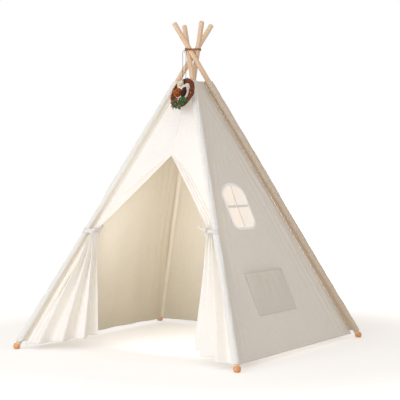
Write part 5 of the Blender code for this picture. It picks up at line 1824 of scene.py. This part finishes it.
def add_stage():
    size = FLOOR_SIZE
    corners = [(-size, -size, 0), (size, -size, 0), (size, size, 0), (-size, size, 0)]
    mesh = mesh_of("floor", corners, [(0, 1, 2, 3)], False)
    floor = bpy.data.objects.new("floor", mesh)
    bpy.context.scene.collection.objects.link(floor)
    r = Recipe(
        "floor_white", 0.9, Specular_IOR_Level=0.0, Base_Color=(*FLOOR_PAINT, 1),
        Emission_Color=(*FLOOR_GLOW, 1),
    )
    away = r.node("VectorMath", {0: r.node("TexCoord").outputs["Object"]}, operation="LENGTH")
    fade = dict(zip(("From Min", "From Max", "To Min", "To Max"), (*FLOOR_FADE, FLOOR_LIFT, 1.0)))
    lift = r.node("MapRange", {"Value": away.outputs["Value"], **fade}, interpolation_type="SMOOTHSTEP")
    glow = r.math("MULTIPLY", lift.outputs["Result"], r.node("LightPath").outputs["Is Camera Ray"])
    r.tree.links.new(glow, r.shader.inputs["Emission Strength"])
    mesh.materials.append(r.material)


def add_lamp(name, place, aim, size, power, colour):
    data = bpy.data.lights.new(name, "AREA")
    data.shape = "DISK"
    data.size = size
    data.energy = power
    data.color = colour
    lamp = bpy.data.objects.new(name, data)
    lamp.visible_camera = False
    lamp.location = place
    lamp.rotation_euler = (Vector(aim) - Vector(place)).to_track_quat("-Z", "Y").to_euler()
    bpy.context.scene.collection.objects.link(lamp)


def add_world():
    """Soft light all round, which the camera and reflections see as white."""
    world = bpy.data.worlds.new("studio")
    bpy.context.scene.world = world
    world.use_nodes = True
    tree = world.node_tree
    tree.nodes.clear()
    rays = add_node(tree, "LightPath").outputs
    seen = add_node(tree, "Math", {0: rays["Is Camera Ray"], 1: rays["Is Glossy Ray"]}, operation="MAXIMUM")
    soft = add_node(tree, "Background", {"Color": (*WORLD_COLOUR, 1), "Strength": WORLD_LIGHT})
    white = add_node(tree, "Background", {"Color": (1, 1, 1, 1), "Strength": 1.0})
    mixer = add_node(tree, "MixShader", {0: seen.outputs[0], 1: soft.outputs[0], 2: white.outputs[0]})
    add_node(tree, "OutputWorld", {"Surface": mixer.outputs[0]})


def dress_nodes():
    """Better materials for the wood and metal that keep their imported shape."""
    wood = {corner: pine(corner) for corner in CORNERS}
    caps = varnished_wood()
    metal = spun_metal()
    for name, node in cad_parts.items():
        if name.startswith("pole_") and name != "pole_lashing":
            look = wood[next(c for c in CORNERS if c in name)]
        elif name.startswith("foot_cap"):
            look = caps
        elif name.startswith("ferrule"):
            look = metal
        else:
            continue
        for slot in node.material_slots:
            slot.material = look


def build():
    set_camera()
    jute = twisted_fibre("jute_twine", linear(112, 62, 28), linear(192, 128, 70))
    add_twine(twisted_fibre("dark_twine", linear(48, 28, 16), linear(112, 74, 44)))
    dress_nodes()
    # The inner skin's colour is the canvas painted darker and warmer: painted shade for the tent's inside.
    canvas, shaded_inside = linear(246, 241, 233), linear(238, 228, 208)
    outer = cotton("cotton_canvas", canvas)
    inner = cotton("cotton_inside_painted_shade", shaded_inside)
    pocket = cotton("cotton_pocket", linear(245, 236, 223))
    # The curtains get a painted glow that lifts the shade in their folds.
    curtain = cotton("cotton_curtain_painted_glow", canvas, painted_glow=0.115)
    # The front channels: a faint painted glow, and painted shade beside their seams.
    front_channel = cotton("sleeve_front_painted_light", canvas, relief=0.4, painted_glow=0.03, painted_seam_shade=linear(244, 233, 214))
    # The back channels are a darker, warmer copy of the canvas, painted shade as they face away from the key
    # lamp, with more painted shade beside their seams.
    shaded_back_channel = cotton("sleeve_back_painted_shade", linear(230, 211, 190), relief=0.12, painted_seam_shade=linear(222, 198, 172))
    # The window's border gets a painted glow standing in for light through the thin lace.
    lace = cotton("window_lace_painted_glow", linear(250, 248, 249), FINE_THREAD, stitched=False, painted_glow=0.16)
    ties = cotton("tie_cotton", linear(240, 235, 228), FINE_THREAD, stitched=False)
    # The window's bars get a painted glow.
    bars = cotton("bar_cotton_painted_glow", linear(236, 230, 222), stitched=False, painted_glow=0.10)
    # The corner tapes get a painted glow.
    tape = cotton("tape_cotton_painted_glow", linear(252, 240, 216), FINE_THREAD, stitched=False, painted_glow=0.06)
    for side in ("left", "back", "right"):
        wall = add_wall(side, outer, inner)
        if side == "back":
            blend_across(wall)
    add_window_binding(lace)
    add_muntins(bars)
    add_voile(voile_cloth())
    add_pocket(pocket)
    for corner in CORNERS:
        add_channel(corner, front_channel if corner.startswith("front") else shaded_back_channel)
        add_corner_tape(corner, tape)
    for side in ("left", "right"):
        blend_across(add_curtain(side, curtain))
        add_tie_strap(side, ties)
        add_tie_knot(side, ties)
    add_lashing(jute)
    add_twig_ring(bark("twig", linear(62, 28, 14), linear(148, 80, 46), linear(210, 140, 94), 320))
    copper = bark("cone_copper", linear(128, 54, 18), linear(216, 116, 48), linear(250, 178, 106), 700, 0.006)
    dark = bark("cone_dark", linear(30, 16, 10), linear(84, 46, 28), linear(150, 96, 62), 700, 0.005)
    add_cones(copper, dark)
    add_flower(petal_cream(), copper)
    add_leaves(leaf_green())
    add_berries(berry_red(), dark)
    add_stage()
    for lamp in LAMPS:
        add_lamp(*lamp)
    add_world()
    bpy.context.scene.view_settings.view_transform = "Standard"


build()
